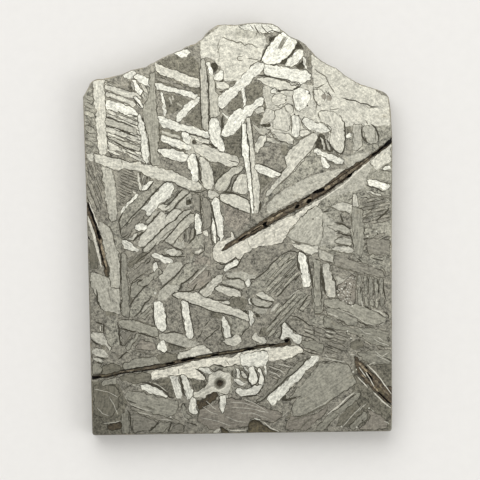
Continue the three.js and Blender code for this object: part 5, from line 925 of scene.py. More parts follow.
K.22 -6.7,-16.15 -6.55,-16.9 -6.35,-17.7 -6.25,-18.5
K.15 -5.3,-17.2 -5.1,-17.9
D.24 -0.8,-15.6 -0.8,-16.3
K.14 -0.7,-15.6 -0.95,-16 -0.8,-16.4 -0.5,-16.5
K.16 1.55,-15.35 1.7,-15.7 1.9,-16.1 2,-16.5 2.1,-17
K.16 2.35,-15.55 2.5,-16 2.7,-16.4 2.75,-16.9 2.8,-17.2
K.14 0.3,-15.2 0.5,-15.7 0.8,-15.9
K.14 0.85,-15.3 0.9,-15.65
K.22 0.93,-16 0.87,-16.6 0.95,-17 1.3,-17.3
D.16 -0.75,-17.05 -0.5,-17.3 0,-17.45 0.5,-17.6
K.17 2.7,-17.3 2.4,-17.7 2.1,-18.15 1.8,-18.45 1.2,-18.55 0.5,-18.6 -0.1,-18.65
K.14 4.6,-15.4 4,-16
K.14 4.8,-14.8 5.3,-14.8
K.2 6.8,-13.95 7.3,-14
K.17 7.9,-14.3 7.6,-14.5 7,-15.1 6.3,-15.8 5.8,-16.2 5.2,-16.6 4.6,-17.2 4,-17.75 3.5,-18.2 3,-18.55
  2.7,-18.9 2.2,-19.2 1.7,-19.45
K.13 5.1,-18.4 5.4,-18.1 5.5,-17.8 5.5,-17.5
L.13 5.75,-17.6 6,-17.2
L.13 13.1,-18.2 12.7,-18.3 12.2,-18.6 11.8,-19 11.3,-19.5 10.9,-19.9 10.5,-20.2 10.1,-20.35
  9.8,-20.6 9.5,-20.9
D.16 12.9,-18.5 12.3,-18.9
D.2 10.4,-18.9 9.9,-19.3 9.4,-19.7 8.7,-20 8,-20.4 7.2,-20.8 6.5,-21.1 5.9,-21.3 5.4,-21.4
L.1 10.3,-18.75 9.35,-19.5 8.6,-19.85 7.9,-20.25
K.15 -12.6,-19.9 -12.35,-20.3 -12.25,-20.8 -12.2,-21.5 -12.15,-22.5
K.13 -13.3,-20.6 -13.25,-21.1
G.12 -12,-20 -11.6,-20.4 -11,-20.6
L.1 -11.4,-20.2 -9.8,-20.6
K.14 -9,-21.1 -9.3,-21.6 -10,-22.3
L.14 -8.9,-21 -7.6,-21.2
K.17 -7.7,-21.3 -7.8,-21.7 -7.95,-22.2 -8.1,-22.6
K.14 -6.2,-21.3 -5.6,-21.5 -5.1,-21.65 -4.8,-21.85
D.2 -6,-22.1 -5.9,-22.5
G.1 -5,-20.9 -3.8,-21 -2.5,-21
L.12 4.6,-20.9 5,-20.6 5.3,-20.2
D.18 8,-21.1 7.5,-21.4 7.1,-21.8 6.7,-22.2 6.4,-22.6
D.2 10.4,-20.5 11,-20.7
L.13 14,-19.6 13.5,-20 13,-20.6 12.7,-20.8
D.13 13.3,-20.3 12.6,-21 12,-21.6 11.5,-22
L.1 14.5,-20.2 15,-20.6
D.14 10,-21.8 9.6,-22.2 9.3,-22.6
W.14 16,-21.6 16.3,-21.7 16.5,-21.9
K.14 16.05,-21.45 16.5,-21.5
M.12 -1.7,21.2 -2,20.3 -1.8,19.4 -1.9,18.6
M.08 1,-1.2 1.2,-1.8 1.5,-2.2
M.08 2.9,-0.7 3,-1.6
M.08 4,-0.2 4.1,-1.3
M.08 5.1,-0.2 5.7,-0.7
P.1 -14.4,-6 -14,-7.6 -13.5,-9
V.1 9.9,15.3 10.2,14.9 10.1,14.4
V.12 10.2,15.1 10.5,14.6 10.5,14.1
V.1 9.7,14.9 9.8,14.4
K.12 2.2,22.4 2.7,21.6
K.12 2.9,22.5 3.4,21.9 3.9,21.6
K.1 1.6,22.7 2.1,22.1
K.1 3.6,22.5 4.2,22.1
"""

# Fields of thin parallel plates: tone, angle and spacing, then the corners
HATCHES = """
# Upper left
L-24/.5 -14.5,13.6 -14.5,8.7 -9.9,7.5 -10,11 -11,13
L-27/.42 -14.6,16.7 -12.4,15.9 -11.4,14.7 -12.6,14.8 -14.6,15.7
P-62/.4 -12,16.6 -10.5,16.4 -9.9,15.6 -10.1,14.4 -11,14.9
M-25/.8 -17,15 -16,15.4 -15.8,13 -15.5,8.8 -17.1,8.8
G-20/.6 -8.9,17.2 -4.1,15.8 -4.1,15.3 -8.9,16.6
# Upper middle
P-15/.55 2.4,9.9 4.6,10.8 6,9.9 4.6,9.4 3.2,9.2
# Middle left
G-24/.3 -13,6.8 -11.2,6.5 -11,4.7 -11.6,4.1 -12.9,2.4 -13.3,3.4
G-70/.5 -17,7.6 -15.2,7.4 -15,5 -14.9,1.4 -16,1.2 -17,3.4
G78/.4 -10.8,6.3 -9.7,6 -9.6,5.6 -10.5,4.9 -10.8,5.2
M40/.5 -9.6,3 -8,4.2 -6.9,4.6 -5.4,4.2 -5.3,3.4 -7.6,2.7 -8.8,2.4
G80/.6 -6.7,0.2 -5,1.2 -4.7,-0.6 -5.6,-1.4 -7,-1.6
# Lower right
G-20/.45 7,-11 8,-11.1 10.8,-11.2 12.6,-12 12.4,-13.6 9.5,-14.2 9.4,-12.4 7,-12
G-28/.5 13,-12.8 16.8,-12.2 16.8,-13.6 13.4,-13.7
# Lower middle
G-25/.4 3,-15.1 5.2,-14.9 6.6,-14.8 4.3,-16.9 3,-16.4
R-18/.5 -4.4,-20.2 -2,-20.2 4.4,-20.6 3.2,-21.6 1.6,-20.9 0.8,-21.4 -3,-22.2
# Middle right
M46/.5 3.2,-4.6 4.9,-2.9 6.4,-2.9 6.5,-4.4 6.9,-6.4 5.6,-6.1 4.2,-7.7 2.8,-6.9
M46/.55 2.9,-11.4 4.6,-8.6 5.2,-8.1 6.8,-6.9 8,-7.5 7.9,-9.2 5.6,-9.6 4.4,-12 3.2,-12.5
M-88/.62 13.2,-5.2 16.3,-5.6 16.5,-8.4 15.4,-9 13.2,-8.8
M-88/.7 8.2,-5 9.1,-5 9.2,-9.4 8.3,-9.4
G-30/.5 9.4,-8.2 11.4,-8 14.6,-9.1 16.4,-10.2 15.6,-11 12.4,-10.9 9.6,-9.6
G12/.4 12.8,2.4 17.1,3.9 17.1,0.9 12.8,-0.6
G-22/.5 10.6,-2.9 14.2,-4.2 16.2,-5.6 13.2,-5.1 10.6,-4.2
G20/.45 13.2,-0.6 17,-0.8 16.9,-3.4 14,-3.2
"""
HATCH_STEP = 0.15

# Fissures and hollows: tone, then the corners of each
HOLLOWS = """
# The long fissure and its brown filling
O 17.7,10.3 16.2,9.05 15,8.1 14,7.5 13,6.95 12,6.35 11,5.6 10,4.9 9,4.25 8,3.65 7,3.1 6,2.6 5,2.1 4,1.6
  3,1 2,0.35 0.8,-0.35 -0.4,-1.1 -1.5,-1.9 -1.95,-2.5 -1.2,-2.1 0.4,-1.3 2,-0.45 4,0.75 5,1.35 6,1.85
  7,2.35 8,2.85 9,3.4 10,4 11,4.7 12,5.35 13,6.1 14,6.95 15,7.8 16.3,8.7 17.7,9.6
# The fissure at the lower right
O 12.7,-14.3 13.5,-15 14.3,-15.7 16.1,-17.6 17,-17.8 17,-19.6 16.2,-19.4 14.8,-18.1 13.1,-16.3
  13,-15.6
# The lower fissure
O -17.2,-16.05 -16,-16.1 -14,-15.8 -13,-15.5 -12,-15.4 -10,-15.1 -8,-14.75 -6,-14.3 -4,-14
  -2,-13.67 0,-13.38 2,-13 4,-12.8 5.3,-12.6 5.8,-12.9 4,-13.08 2,-13.22 0,-13.68 -2,-13.98 -4,-14.28
  -6,-14.63 -8,-15.06 -10,-15.46 -12,-15.65 -13,-15.82 -14,-16.1 -16,-16.42 -17.2,-16.5
# The fissure in the left edge
O -17.2,3.6 -16.6,3.1 -16,1.4 -15.5,0 -15.2,-0.9 -15,-2.6 -14.4,-4.2 -14.45,-5.1 -14.8,-4.9 -15.2,-3
  -15.6,-1.2 -16.1,0.2 -16.7,2 -17.2,2.8
# Brown inclusion beside the pit, rust pit and hole
I -4.85,-19.1 -3.9,-18.8 -3.6,-18.4 -2.7,-18.05 -2.4,-18.6 -3.5,-19.4 -4.2,-19.8 -4.6,-20
I -14.9,-21.7 -13.3,-21.2 -13.3,-22 -14.5,-22.2
I 4.9,-12.35 5.6,-12.15 5.7,-12.75 5.1,-12.7
# Chip and notch in the bottom edge
V 0.7,-23 0.8,-21.9 1.3,-21.2 1.8,-21.2 2.7,-21.9 4.3,-22.75 4.3,-23
V -2.3,-22 -2,-22.1 -1.3,-22.6 -1.3,-23 -2.2,-23 -2.1,-22.4
"""

# Broken pieces of the brown filling: tone and width, then points along the row of pieces
FILLINGS = """
B.38 14.8,7.65 13.4,6.75 12,5.85 10.9,5.05 9.6,4.25
B.36 8.2,3.35 7.4,2.95 6,2.25 5,1.75 4,1.2 3.3,0.8
B.22 2.8,0.4 2,0 1,-0.55 0.2,-1
B.16 -0.2,-1.3 -1,-1.85
V.15 -15.8,-16.25 -14,-15.95 -13,-15.65 -12,-15.5 -10,-15.27 -8,-14.9 -7.2,-14.7
B.14 -13.4,-15.7 -12.6,-15.6 -11.8,-15.5
B.16 -10.6,-15.4 -10,-15.25 -9.4,-15.15
B.14 -8.2,-14.95 -7.6,-14.85 -7,-14.7
V.16 -5.5,-14.35 -4,-14.12 -2,-13.8 0,-13.5 2,-13.1 4.7,-12.85
B.26 -15.3,-0.9 -15.1,-2 -14.8,-3.4 -14.6,-4.4
B.2 13.2,-15 14,-15.9 15,-17 16.5,-18.7
V.3 13.3,-15.7 14.2,-16.7 15.4,-18 16.6,-19.2
B.16 13.4,-16.2 14.6,-17.5 15.4,-18.3
"""

# Open cracks in the hollows and across the face, their near-black floors painted shade: tone and width, then
# points along the line
CRACKS = """
X.4 17.7,10.15 17.1,9.6 16.3,8.9
X.22 16.4,9 15.6,8.35 14.9,7.95
X.4 9.7,4.35 8.3,3.85
X.45 8.2,3.2 7.7,2.8
X.35 6.85,2.6 6.3,2.2
X.35 12.8,6 12.2,5.6
X.3 3.25,0.75 2.8,0.45 3.3,0.25
X.25 1,-0.65 0,-1.3
X.07 16,8.5 14.9,7.8 13.4,6.65 12,5.5 10.4,4.35 9,3.5 7.6,2.8
X.07 14.8,8 13.4,7 12.4,6.3 10.9,5.3 9.4,4.3
X.12 12.1,5.5 10.9,4.75 9.8,4
X.12 8.1,3.6 7.1,3.1
X.07 7.4,3 6.2,2.5 4.9,1.85 3.4,1.05
X.07 6.4,1.95 4.9,1.2 3.4,0.35 1.4,-0.7
X.12 2.7,0.35 1.4,-0.4
X.22 -17.2,3.4 -16.6,2.9 -16.1,1.5 -15.7,0.2
X.32 -15.7,0.2 -15.45,-0.5 -15.35,-1
X.14 -15.6,-1.2 -15.2,-2.8 -14.7,-4.4
K.15 -14.5,-3.8 -14.5,-5
X.14 -16.85,-0.4 -16.4,-1.05
X.32 -17,-16.3 -16.2,-16.3 -15.4,-16.2
X.11 -15.5,-16.35 -14,-16.05 -13,-15.85 -11.5,-15.7 -9.8,-15.5 -8,-15.1 -6,-14.65
X.09 -13.4,-15.6 -12,-15.4 -10.3,-15.1 -8.7,-14.9
X.22 -8.3,-14.9 -7.2,-14.75
X.26 -6.6,-14.6 -4.9,-14.25
X.09 -5,-14.4 -2.2,-13.95 0,-13.7 2.1,-13.2
X.09 -4.9,-14.05 -2.2,-13.65 0.2,-13.35 2.4,-13 4.4,-12.8
X.18 -3.2,-14.05 -2.3,-13.85
X.18 0.4,-13.5 1.6,-13.25
X.18 3.2,-13 4,-12.9
X.5 5,-12.55 5.5,-12.4
X.15 13.95,-15.35 14.15,-15.8
X.2 14.2,-16.1 14.7,-17
X.18 15.3,-18.3 16.1,-19.1 16.8,-19.8
K.1 11,-20.05 11.9,-19.2 12.9,-18.5
"""

# Thin bright lines: painted highlights along the edges of the fissures, the chips and the bottom edge, and
# fine bright streaks of the etch across the plates
PAINTED_GLINTS_AND_STREAKS = """
C.13 8.6,2.75 9.9,3.55 11.8,4.75 13.4,6.25 14.9,7.45
C.24 -16.95,2.3 -16.45,0.9 -16.05,-0.3 -15.8,-1.6 -15.45,-3 -15.2,-4
C.1 -16.5,3.2 -15.9,1.6 -15.4,0.1
C.14 14.8,-18.35 16,-19.5 16.7,-20.1
C.12 14.1,-15.2 15.4,-16.6 16.8,-18.6
C.1 14,-16.1 14.9,-17.7
C.1 13.1,-16.6 14.2,-17.8
C.12 2.6,-21.5 3.3,-22.15 4.3,-22.6
W.14 1.5,-21.05 2.2,-21.2
L.3 -3.1,-22.7 -2.3,-22.2
C.12 -1.2,-22.35 -0.5,-22.4 0.6,-22.35
L.12 13.2,-15.5 14,-16.6
L.1 -5.5,-6 -4.4,-4.9 -3.4,-3.9
L.06 -3.8,-19 -3.2,-19.6 -2.6,-20.1
L.06 -4.2,-19.7 -3.3,-20.3 -2.5,-20.6
L.06 -1.2,-19.2 0.6,-19.4 2.2,-19.9
L.06 -1,-19.8 1.2,-20 3.4,-20.5
L.06 -0.4,-20.4 1.4,-20.5 3,-21.1
L.06 -4.4,-20.9 -2.6,-21.3 -1,-21.9
L.06 -1.6,-20.8 -0.2,-21.4 0.6,-21.5
L.06 0.4,-18.9 1.6,-19.4 3.1,-20.4
L.07 3.2,-15.3 4.4,-15.7 5,-16.2
L.07 3.2,-15.9 4.1,-16.2 4.6,-16.6
L.07 3.9,-15 5.2,-15.3 6,-15.5
L.08 9.3,-14.4 10.4,-14.7 11.6,-14.9
L.07 14.9,-12.4 15.6,-12.8 16.6,-13.2
L.07 13.3,-11.2 13.9,-11.7 14.8,-11.9
L.07 15,-14.1 15.9,-14.6 16.8,-15
C.12 9.6,-20.8 10.2,-20.3 10.9,-19.8 11.8,-18.95 12.7,-18.35
L.08 11.3,-22.2 12.3,-21 13.5,-19.8
L.07 -16.2,-17.6 -14.7,-17.9 -13.6,-18.5
L.07 -15.9,-19.6 -15.3,-20.3 -14.6,-20.6
L.07 -14.6,-18.4 -14,-19.4 -13.6,-20.4
L.08 -15.2,-21.4 -13.9,-21.3 -13.3,-21.1
L.07 -12.6,-19 -11.6,-19.6 -10,-20.1
"""

# Round spots: tone and radius, then their middles; some white spots, on the fissures, are painted glints
SPOTS = """
R.3 9.75,14.6 10.35,14.4
K.1 5.5,14.25 6.45,12.65 6.9,12.5 7.9,13.6 8.1,14.95 8.35,1 12.4,-12.4 11.9,-11.7 13.7,-12.05
  13.3,-12.6 15.5,-0.75 14,-1.3 13.55,-21.45
K.2 -14.5,-5
W.1 8.75,1.15 14.4,-1 15.4,-0.45 12.3,-8.4 12.6,-8.7 12,-11.5 12.4,-12.3 -10.25,-15.35 -9.95,-15.15
  -5.8,-14.4 -4,-14.05 13,-15.75 12.6,-16.05 11.2,-22.1 12.9,-22.2 14.3,-20.1 -7.75,-20.8
W.15 -9.3,-7 16.75,-19.5
"""

PIT_CENTRE = (-2.25, -17.1)
PIT_RADIUS = 0.47
PIT_DEPTH = 0.5
PIT_CORNERS = 22

# Rings of the pit from the outside in: share of its radius, depth in millimetres and tone; their tones darken
# toward the middle as painted shade in the pit, and its floor is brown oxide
PIT_RINGS = ((1.5, 0.02, "M"), (1.2, 0.05, "D"), (0.85, 0.15, "K"), (0.6, PIT_DEPTH, "O"))

# Depth of each kind of hollow, in millimetres
HOLLOW_DEPTH = {"O": 0.13, "I": 0.16, "V": 0.4, "X": 0.85, "K": 0.1}
FILLING_DEPTH = 0.08

# Corners of the field of small bright grains, and how many are scattered over its box
GRAIN_FIELD = "10.9,-7 11.6,-6.3 12.7,-5.2 12.9,-6.2 12.4,-7.5 12.6,-8.6 12,-8.5 11,-7.8"
GRAIN_TRIES = 150

# Tones of the places whose floor is uneven
DEEP = ("X", "O", "I", "V")

# Without a fixed start, Blender's vector noise would differ from run to run
NOISE_SEED = 7
noise.seed_set(NOISE_SEED)

# How an edge wanders: step between its points, how far they move, and size of the waves
FIELD_EDGE = (0.2, 0.16, 0.4)
BAR_EDGE = (0.14, 0.17, 0.36)

# The natural rim lies above this height and within this distance of the middle, and it stays this far
# below the solid's top
RIM_FOOT = 15.5
RIM_REACH = 16.2
RIM_CLEARANCE = 0.01

# Extra points inside the face: their spacing, and how far each is shaken from its place
FILL_STEP = 0.55
FILL_SHAKE = 0.2
MERGE_DISTANCE = 1e-5

# Only triangles beyond these lines can lie outside the outline
INNER_SIDE = 16
INNER_TOP = 14.4
INNER_BOTTOM = -22.3

# Starting numbers of the random draws
PATTERN_SEED = 7
GRAIN_SEED = 11
FILL_SEED = 11


def read_shapes(text):
    """Lists of points, each with the word in front of it; a list may hold comment lines"""
    shapes = []
    for line in text.splitlines():
        for word in line.split("#")[0].split():
            if word[0].isalpha():
                shapes.append((word, []))
            else:
                x, y = word.split(",")
                shapes[-1][1].append((float(x), float(y)))
    return shapes


def read_points(text):
    """The points of one shape"""
    return [tuple(float(part) for part in word.split(",")) for word in text.split()]


def split_word(word):
    """Tone and size of a word such as K.15"""
    return word[0], float(word[1:])


def rounded(ring):
    """The ring with each corner cut once, as etching rounds it"""
    soft = []
    for i, (x0, y0) in enumerate(ring):
        x1, y1 = ring[(i + 1) % len(ring)]
        cut = min(0.2, CORNER_CUT / (math.dist((x0, y0), (x1, y1)) or 1.0))
        soft.append((x0 + (x1 - x0) * cut, y0 + (y1 - y0) * cut))
        soft.append((x1 + (x0 - x1) * cut, y1 + (y0 - y1) * cut))
    return soft


def stepped(line, step, closed=True):
    """More points along a line, no further apart than the step"""
    count = len(line) if closed else len(line) - 1
    more = []
    for i in range(count):
        x0, y0 = line[i]
        x1, y1 = line[(i + 1) % len(line)]
        parts = max(1, round(math.dist((x0, y0), (x1, y1)) / step))
        for k in range(parts):
            t = k / parts
            more.append((x0 + (x1 - x0) * t, y0 + (y1 - y0) * t))
    if not closed:
        more.append(line[-1])
    return more


def ragged(line, amount, size=0.55):
    """A line that wanders a little, by the same amount wherever it passes the same place"""
    moved = []
    for x, y in line:
        step = noise.noise_vector(Vector((x / size, y / size, 3.7)))
        fine = noise.noise_vector(Vector((x / size * 3.1, y / size * 3.1, 8.2)))
        moved.append((x + amount * (step.x + 0.4 * fine.x), y + amount * (step.y + 0.4 * fine.y)))
    return moved


def etched_edge(ring, edge):
    """A ring of the lists with rounded corners and a wandering edge"""
    step, amount, size = edge
    return ragged(stepped(rounded(ring), step), amount, size=size)


def side_of(line, i, closed):
    """Unit vector across a line at one of its points"""
    before = line[i - 1] if closed or i > 0 else line[i]
    after = line[(i + 1) % len(line)] if closed or i < len(line) - 1 else line[i]
    dx, dy = after[0] - before[0], after[1] - before[1]
    length = math.hypot(dx, dy) or 1.0
    return dy / length, -dx / length


def area_of(ring):
    """Signed area, positive where the ring runs anticlockwise"""
    total = 0.0
    for i, (x0, y0) in enumerate(ring):
        x1, y1 = ring[(i + 1) % len(ring)]
        total += x0 * y1 - x1 * y0
    return total / 2


def offset(ring, distance, uneven=0.0):
    """The ring moved outwards by a distance, more in some places than in others where it is uneven"""
    turn = 1 if area_of(ring) > 0 else -1
    grown = []
    for i, (x, y) in enumerate(ring):
        nx, ny = side_of(ring, i, True)
        swell = 1 + uneven * noise.noise(Vector((x * 1.3, y * 1.3, 4.0)))
        grown.append((x + nx * distance * swell * turn, y + ny * distance * swell * turn))
    return grown


def stroke(line, width, seed):
    """A narrow closed shape along a line, thick and thin by turns and pointed at its ends"""
    line = ragged(stepped(line, 0.3, closed=False), 0.05)
    left, right = [], []
    for i, (x, y) in enumerate(line):
        nx, ny = side_of(line, i, False)
        along = i / max(1, len(line) - 1)
        taper = min(1.0, 0.35 + 4.0 * min(along, 1 - along))
        swell = 1 + 0.45 * noise.noise(Vector((x * 1.7, y * 1.7, seed)))
        half = width / 2 * taper * swell
        left.append((x + nx * half, y + ny * half))
        right.append((x - nx * half, y - ny * half))
    return left + right[::-1]


def disc(centre, radius, corners, seed):
    """A slightly uneven round shape"""
    ring = []
    for k in range(corners):
        angle = 2 * math.pi * k / corners
        r = radius * (1 + 0.16 * noise.noise(Vector((math.cos(angle), math.sin(angle), seed))))
        ring.append((centre[0] + r * math.cos(angle), centre[1] + r * math.sin(angle)))
    return ring


def long_way(ring):
    """Direction in which a shape is longest, as an angle"""
    spread = np.cov(np.array(ring).T)
    values, vectors = np.linalg.eigh(spread)
    x, y = vectors[:, int(np.argmax(values))]
    return math.atan2(y, x) % math.pi


class Layer:
    """One patch of the etch: its ring, its tone and how deep it lies"""

    def __init__(self, ring, tone, depth=0.0, plessite=0.0, lines=0.0, angle=0.0, shade=1.0):
        self.ring = ring
        self.tone = tone
        self.depth = depth
        self.plessite = plessite
        self.lines = lines
        self.angle = angle
        self.shade = shade


def holds(ring, x, y):
    """Whether a point lies inside a ring"""
    inside = False
    for i, (x0, y0) in enumerate(ring):
        x1, y1 = ring[i - 1]
        if (y0 > y) != (y1 > y) and x < (x1 - x0) * (y - y0) / (y1 - y0) + x0:
            inside = not inside
    return inside


def hatched(rng):
    """Rows of thin parallel plates that fill a field, each with a dark rim and a tone of its own"""
    layers = []
    for word, ring in read_shapes(HATCHES):
        turn, spacing = word[1:].split("/")
        angle, spacing = math.radians(float(turn)), float(spacing)
        ux, uy = math.cos(angle), math.sin(angle)
        along = [x * ux + y * uy for x, y in ring]
        across = [y * ux - x * uy for x, y in ring]
        row = min(across) + spacing * rng.uniform(0.3, 0.7)
        while row < max(across):
            width = spacing * rng.uniform(0.5, 0.85)
            reach = rng.uniform(0.3, 1.0) * 2.5
            start = None
            t = min(along)
            while t < max(along) + HATCH_STEP:
                x, y = t * ux - row * uy, t * uy + row * ux
                if holds(ring, x, y) and t < max(along):
                    if start is None:
                        start = t
                if start is not None and (not holds(ring, x, y) or t - start > reach):
                    if t - start > 2 * HATCH_STEP:
                        end = t - rng.uniform(0.0, 0.15)
                        tilt = rng.uniform(-0.06, 0.06)
                        line = [(u * ux - (row + tilt * v) * uy, u * uy + (row + tilt * v) * ux)
                                for u, v in ((start, 0), ((start + end) / 2, 0.5), (end, 1))]
                        seed = rng.uniform(0, 90)
                        shade = 1 + rng.uniform(-0.13, 0.11)
                        layers.append(Layer(stroke(line, width + 0.14, seed), "K", plessite=0.6))
                        layers.append(Layer(stroke(line, width, seed), word[0], plessite=0.5, lines=0.6,
                                            angle=angle % math.pi, shade=shade))
                    start = None
                    reach = rng.uniform(0.5, 1.0) * 4.0
                t += HATCH_STEP
            row += spacing * rng.uniform(0.85, 1.2)
    return layers


def bright_grains():
    """Small bright and dark grains scattered over one field"""
    rng = random.Random(GRAIN_SEED)
    field = read_points(GRAIN_FIELD)
    across, up = zip(*field)
    layers = []
    for seed in range(GRAIN_TRIES):
        x = rng.uniform(min(across), max(across))
        y = rng.uniform(min(up), max(up))
        if holds(field, x, y):
            radius = rng.uniform(0.04, 0.1)
            layers.append(Layer(disc((x, y), radius, 7, seed), rng.choice("WLPK")))
    return layers


def etch_layers():
    """Every patch of the face, each later one over the earlier ones"""
    rng = random.Random(PATTERN_SEED)
    layers = []
    for tone, ring in read_shapes(FIELDS):
        ring = etched_edge(ring, FIELD_EDGE)
        shade = 1 + rng.uniform(-0.03, 0.03)
        layers.append(Layer(ring, tone, plessite=0.3 if tone in "WLP" else 1.0, lines=0.4,
                            angle=long_way(ring), shade=shade))
    layers += hatched(rng)
    for tone, ring in read_shapes(BARS):
        ring = etched_edge(ring, BAR_EDGE)
        layers.append(Layer(offset(ring, RIM_WIDTH, uneven=1.6), "K", plessite=0.5))
        shade = 1 + rng.uniform(-0.035, 0.035)
        layers.append(Layer(ring, tone, depth=BAR_DEPTH, plessite=0.15, lines=1.0,
                            angle=long_way(ring), shade=shade))
    for seed, (word, line) in enumerate(read_shapes(SEAMS)):
        tone, width = split_word(word)
        layers.append(Layer(stroke(line, width * 0.85, seed), tone, depth=SEAM_DEPTH))
    for word, centres in read_shapes(SPOTS):
        tone, radius = split_word(word)
        for seed, centre in enumerate(centres):
            layers.append(Layer(disc(centre, radius, 9, seed), tone, depth=SEAM_DEPTH))
    layers += bright_grains()
    for tone, ring in read_shapes(HOLLOWS):
        ring = etched_edge(ring, FIELD_EDGE)
        layers.append(Layer(offset(ring, 0.07), "K", depth=HOLLOW_DEPTH[tone] / 3))
        layers.append(Layer(ring, tone, depth=HOLLOW_DEPTH[tone]))
    for word, line in read_shapes(FILLINGS):
        tone, width = split_word(word)
        line = stepped(line, 0.3, closed=False)
        start = 0
        while start < len(line) - 2:
            end = min(len(line) - 1, start + rng.randint(2, 6))
            shade = 1 + rng.uniform(-0.25, 0.2)
            layers.append(Layer(stroke(line[start:end + 1], width, start), tone, FILLING_DEPTH, shade=shade))
            start = end + rng.randint(0, 1)
    # Painted highlights along the fissure and chip edges, and bright streaks of the etch
    for seed, (word, line) in enumerate(read_shapes(PAINTED_GLINTS_AND_STREAKS)):
        tone, width = split_word(word)
        layers.append(Layer(stroke(line, width, seed), tone))
    # Open cracks; their near-black tone is painted shade in the gaps
    for seed, (word, line) in enumerate(read_shapes(CRACKS)):
        tone, width = split_word(word)
        layers.append(Layer(stroke(line, width, seed + 50), tone, depth=HOLLOW_DEPTH[tone]))
    for share, depth, tone in PIT_RINGS:
        layers.append(Layer(disc(PIT_CENTRE, PIT_RADIUS * share, PIT_CORNERS, 2), tone, depth=depth))
    return layers


def slice_ring():
    """Outline of the slice: sawn sides that run true, and the wandering natural rim along the top"""
    ring = stepped(read_points(OUTLINE), 0.22)
    top = HIGH[1] / MM + CENTRE[1] - RIM_CLEARANCE
    rough = [(x, min(y, top)) for x, y in ragged(ring, 0.06, size=0.4)]
    return [wild if wild[1] > RIM_FOOT and abs(wild[0]) < RIM_REACH else true
            for true, wild in zip(ring, rough)]


def linear(tone, shade):
    """Colour of a tone as the shader wants it"""
    values = []
    for channel in TONES[tone]:
        level = min(1.0, channel / 255 * shade)
        values.append(level / 12.92 if level <= 0.04045 else ((level + 0.055) / 1.055) ** 2.4)
    return values


def covers(ring, points):
    """Which of many points a ring goes round"""
    start = np.array(ring)[:, :, None]
    end = np.roll(start, -1, axis=0)
    x, y = points.T[:, None, :]
    (x0, y0), (x1, y1) = start.transpose(1, 0, 2), end.transpose(1, 0, 2)
    left = (x1 - x0) * (y - y0) - (x - x0) * (y1 - y0)
    up = (y0 <= y) & (y < y1) & (left > 0)
    down = (y1 <= y) & (y < y0) & (left < 0)
    return up.sum(axis=0) != down.sum(axis=0)


def sheet_triangles(outline, layers, shift):
    """Triangles of one face: points, corner numbers, and the topmost layer of each"""
    rings = [[(x + shift[0], y + shift[1]) for x, y in layer.ring] for layer in layers]
    coords = [Vector(point) for point in outline]
    edges = []
    for ring in rings:
        start = len(coords)
        coords.extend(Vector(point) for point in ring)
        edges.extend((start + i, start + (i + 1) % len(ring)) for i in range(len(ring)))
    rng = random.Random(FILL_SEED)
    low, high = np.min(outline, axis=0), np.max(outline, axis=0)
    for x in np.arange(low[0], high[0], FILL_STEP):
        for y in np.arange(low[1], high[1], FILL_STEP):
            shaken_x = x + rng.uniform(-FILL_SHAKE, FILL_SHAKE)
            shaken_y = y + rng.uniform(-FILL_SHAKE, FILL_SHAKE)
            coords.append(Vector((shaken_x, shaken_y)))
    border = list(range(len(outline)))
    points, _, faces, _, _, _ = delaunay_2d_cdt(coords, edges, [border], 1, MERGE_DISTANCE)
    corners = np.array([point[:] for point in points])
    faces = np.array(faces)
    middles = corners[faces].mean(axis=1)
    across, up = middles.T
    rim = np.nonzero((abs(across) > INNER_SIDE) | (up > INNER_TOP) | (up < INNER_BOTTOM))[0]
    outside = rim[~covers(outline, middles[rim])]
    faces = np.delete(faces, outside, axis=0)
    middles = np.delete(middles, outside, axis=0)
    tops = np.zeros(len(faces), dtype=int)
    for number, ring in enumerate(rings, 1):
        low, high = np.min(ring, axis=0), np.max(ring, axis=0)
        near = np.nonzero(((middles > low) & (middles < high)).all(axis=1))[0]
        tops[near[covers(ring, middles[near])]] = number
    return points, [tuple(face) for face in faces.tolist()], tops.tolist()


def nearest_normals(outline, points):
    """Outward direction of the outline next to each point"""
    ring = np.array(outline if area_of(outline) > 0 else outline[::-1])
    after = np.roll(ring, -1, axis=0)
    way = after - ring
    length = np.linalg.norm(way, axis=1)
    normals = np.stack((way[:, 1], -way[:, 0]), axis=1) / length[:, None]
    corner = normals + np.roll(normals, 1, axis=0)
    corner /= np.linalg.norm(corner, axis=1)[:, None]
    found = {}
    for key, point in points.items():
        gap = np.array(point) - ring
        t = np.clip((gap * way).sum(axis=1) / length ** 2, 0, 1)
        off = np.linalg.norm(gap - way * t[:, None], axis=1)
        i = int(np.argmin(off))
        mixed = corner[i] * (1 - t[i]) + corner[(i + 1) % len(ring)] * t[i]
        mixed /= np.linalg.norm(mixed)
        along = float(length[:i].sum() + length[i] * t[i])
        found[key] = (float(mixed[0]), float(mixed[1]), along)
    return found


# Heights of the rows on the sawn side below the face, and how far each stands in from the true outline
SIDE_ROWS = ((0.02, 0.045), (0.07, 0.01), (0.2, 0.0), (0.55, 0.0), (1.0, 0.0))
SIDE_OVERLAP = 0.05

# The unrolled side is laid on the texture map in rows of this length
UV_ROW = 42.0
UV_SCALE = 1 / 60.0

# Places on the texture map, in millimetres: what is added to a face point, and the rows of the side
UV_CORNER = (18, 24)
UV_SIDE_START = 50
UV_SIDE_STEP = 1.9
UV_SIDE_WIDTH = 1.6


class SliceMesh:
    """Gathers the points, faces and per-face values of one piece"""

    def __init__(self):
        self.points = []
        self.faces = []
        self.colours = []
        self.traits = []
        self.uvs = []

    def point(self, x, y, z):
        self.points.append(((x - CENTRE[0]) * MM, (y - CENTRE[1]) * MM, z * MM))
        return len(self.points) - 1

    def face(self, corners, colour, trait, uvs):
        self.faces.append(corners)
        self.colours.append(colour)
        self.traits.append(trait)
        self.uvs.extend(uvs)


def floor_bumps(x, y, tone):
    """Uneven floor of a hollow"""
    if tone not in DEEP:
        return 0.0
    wide = 0.05 * noise.noise(Vector((x * 2.3, y * 2.3, 1.0)))
    fine = 0.03 * noise.noise(Vector((x * 7, y * 7, 5.0)))
    return wide + fine


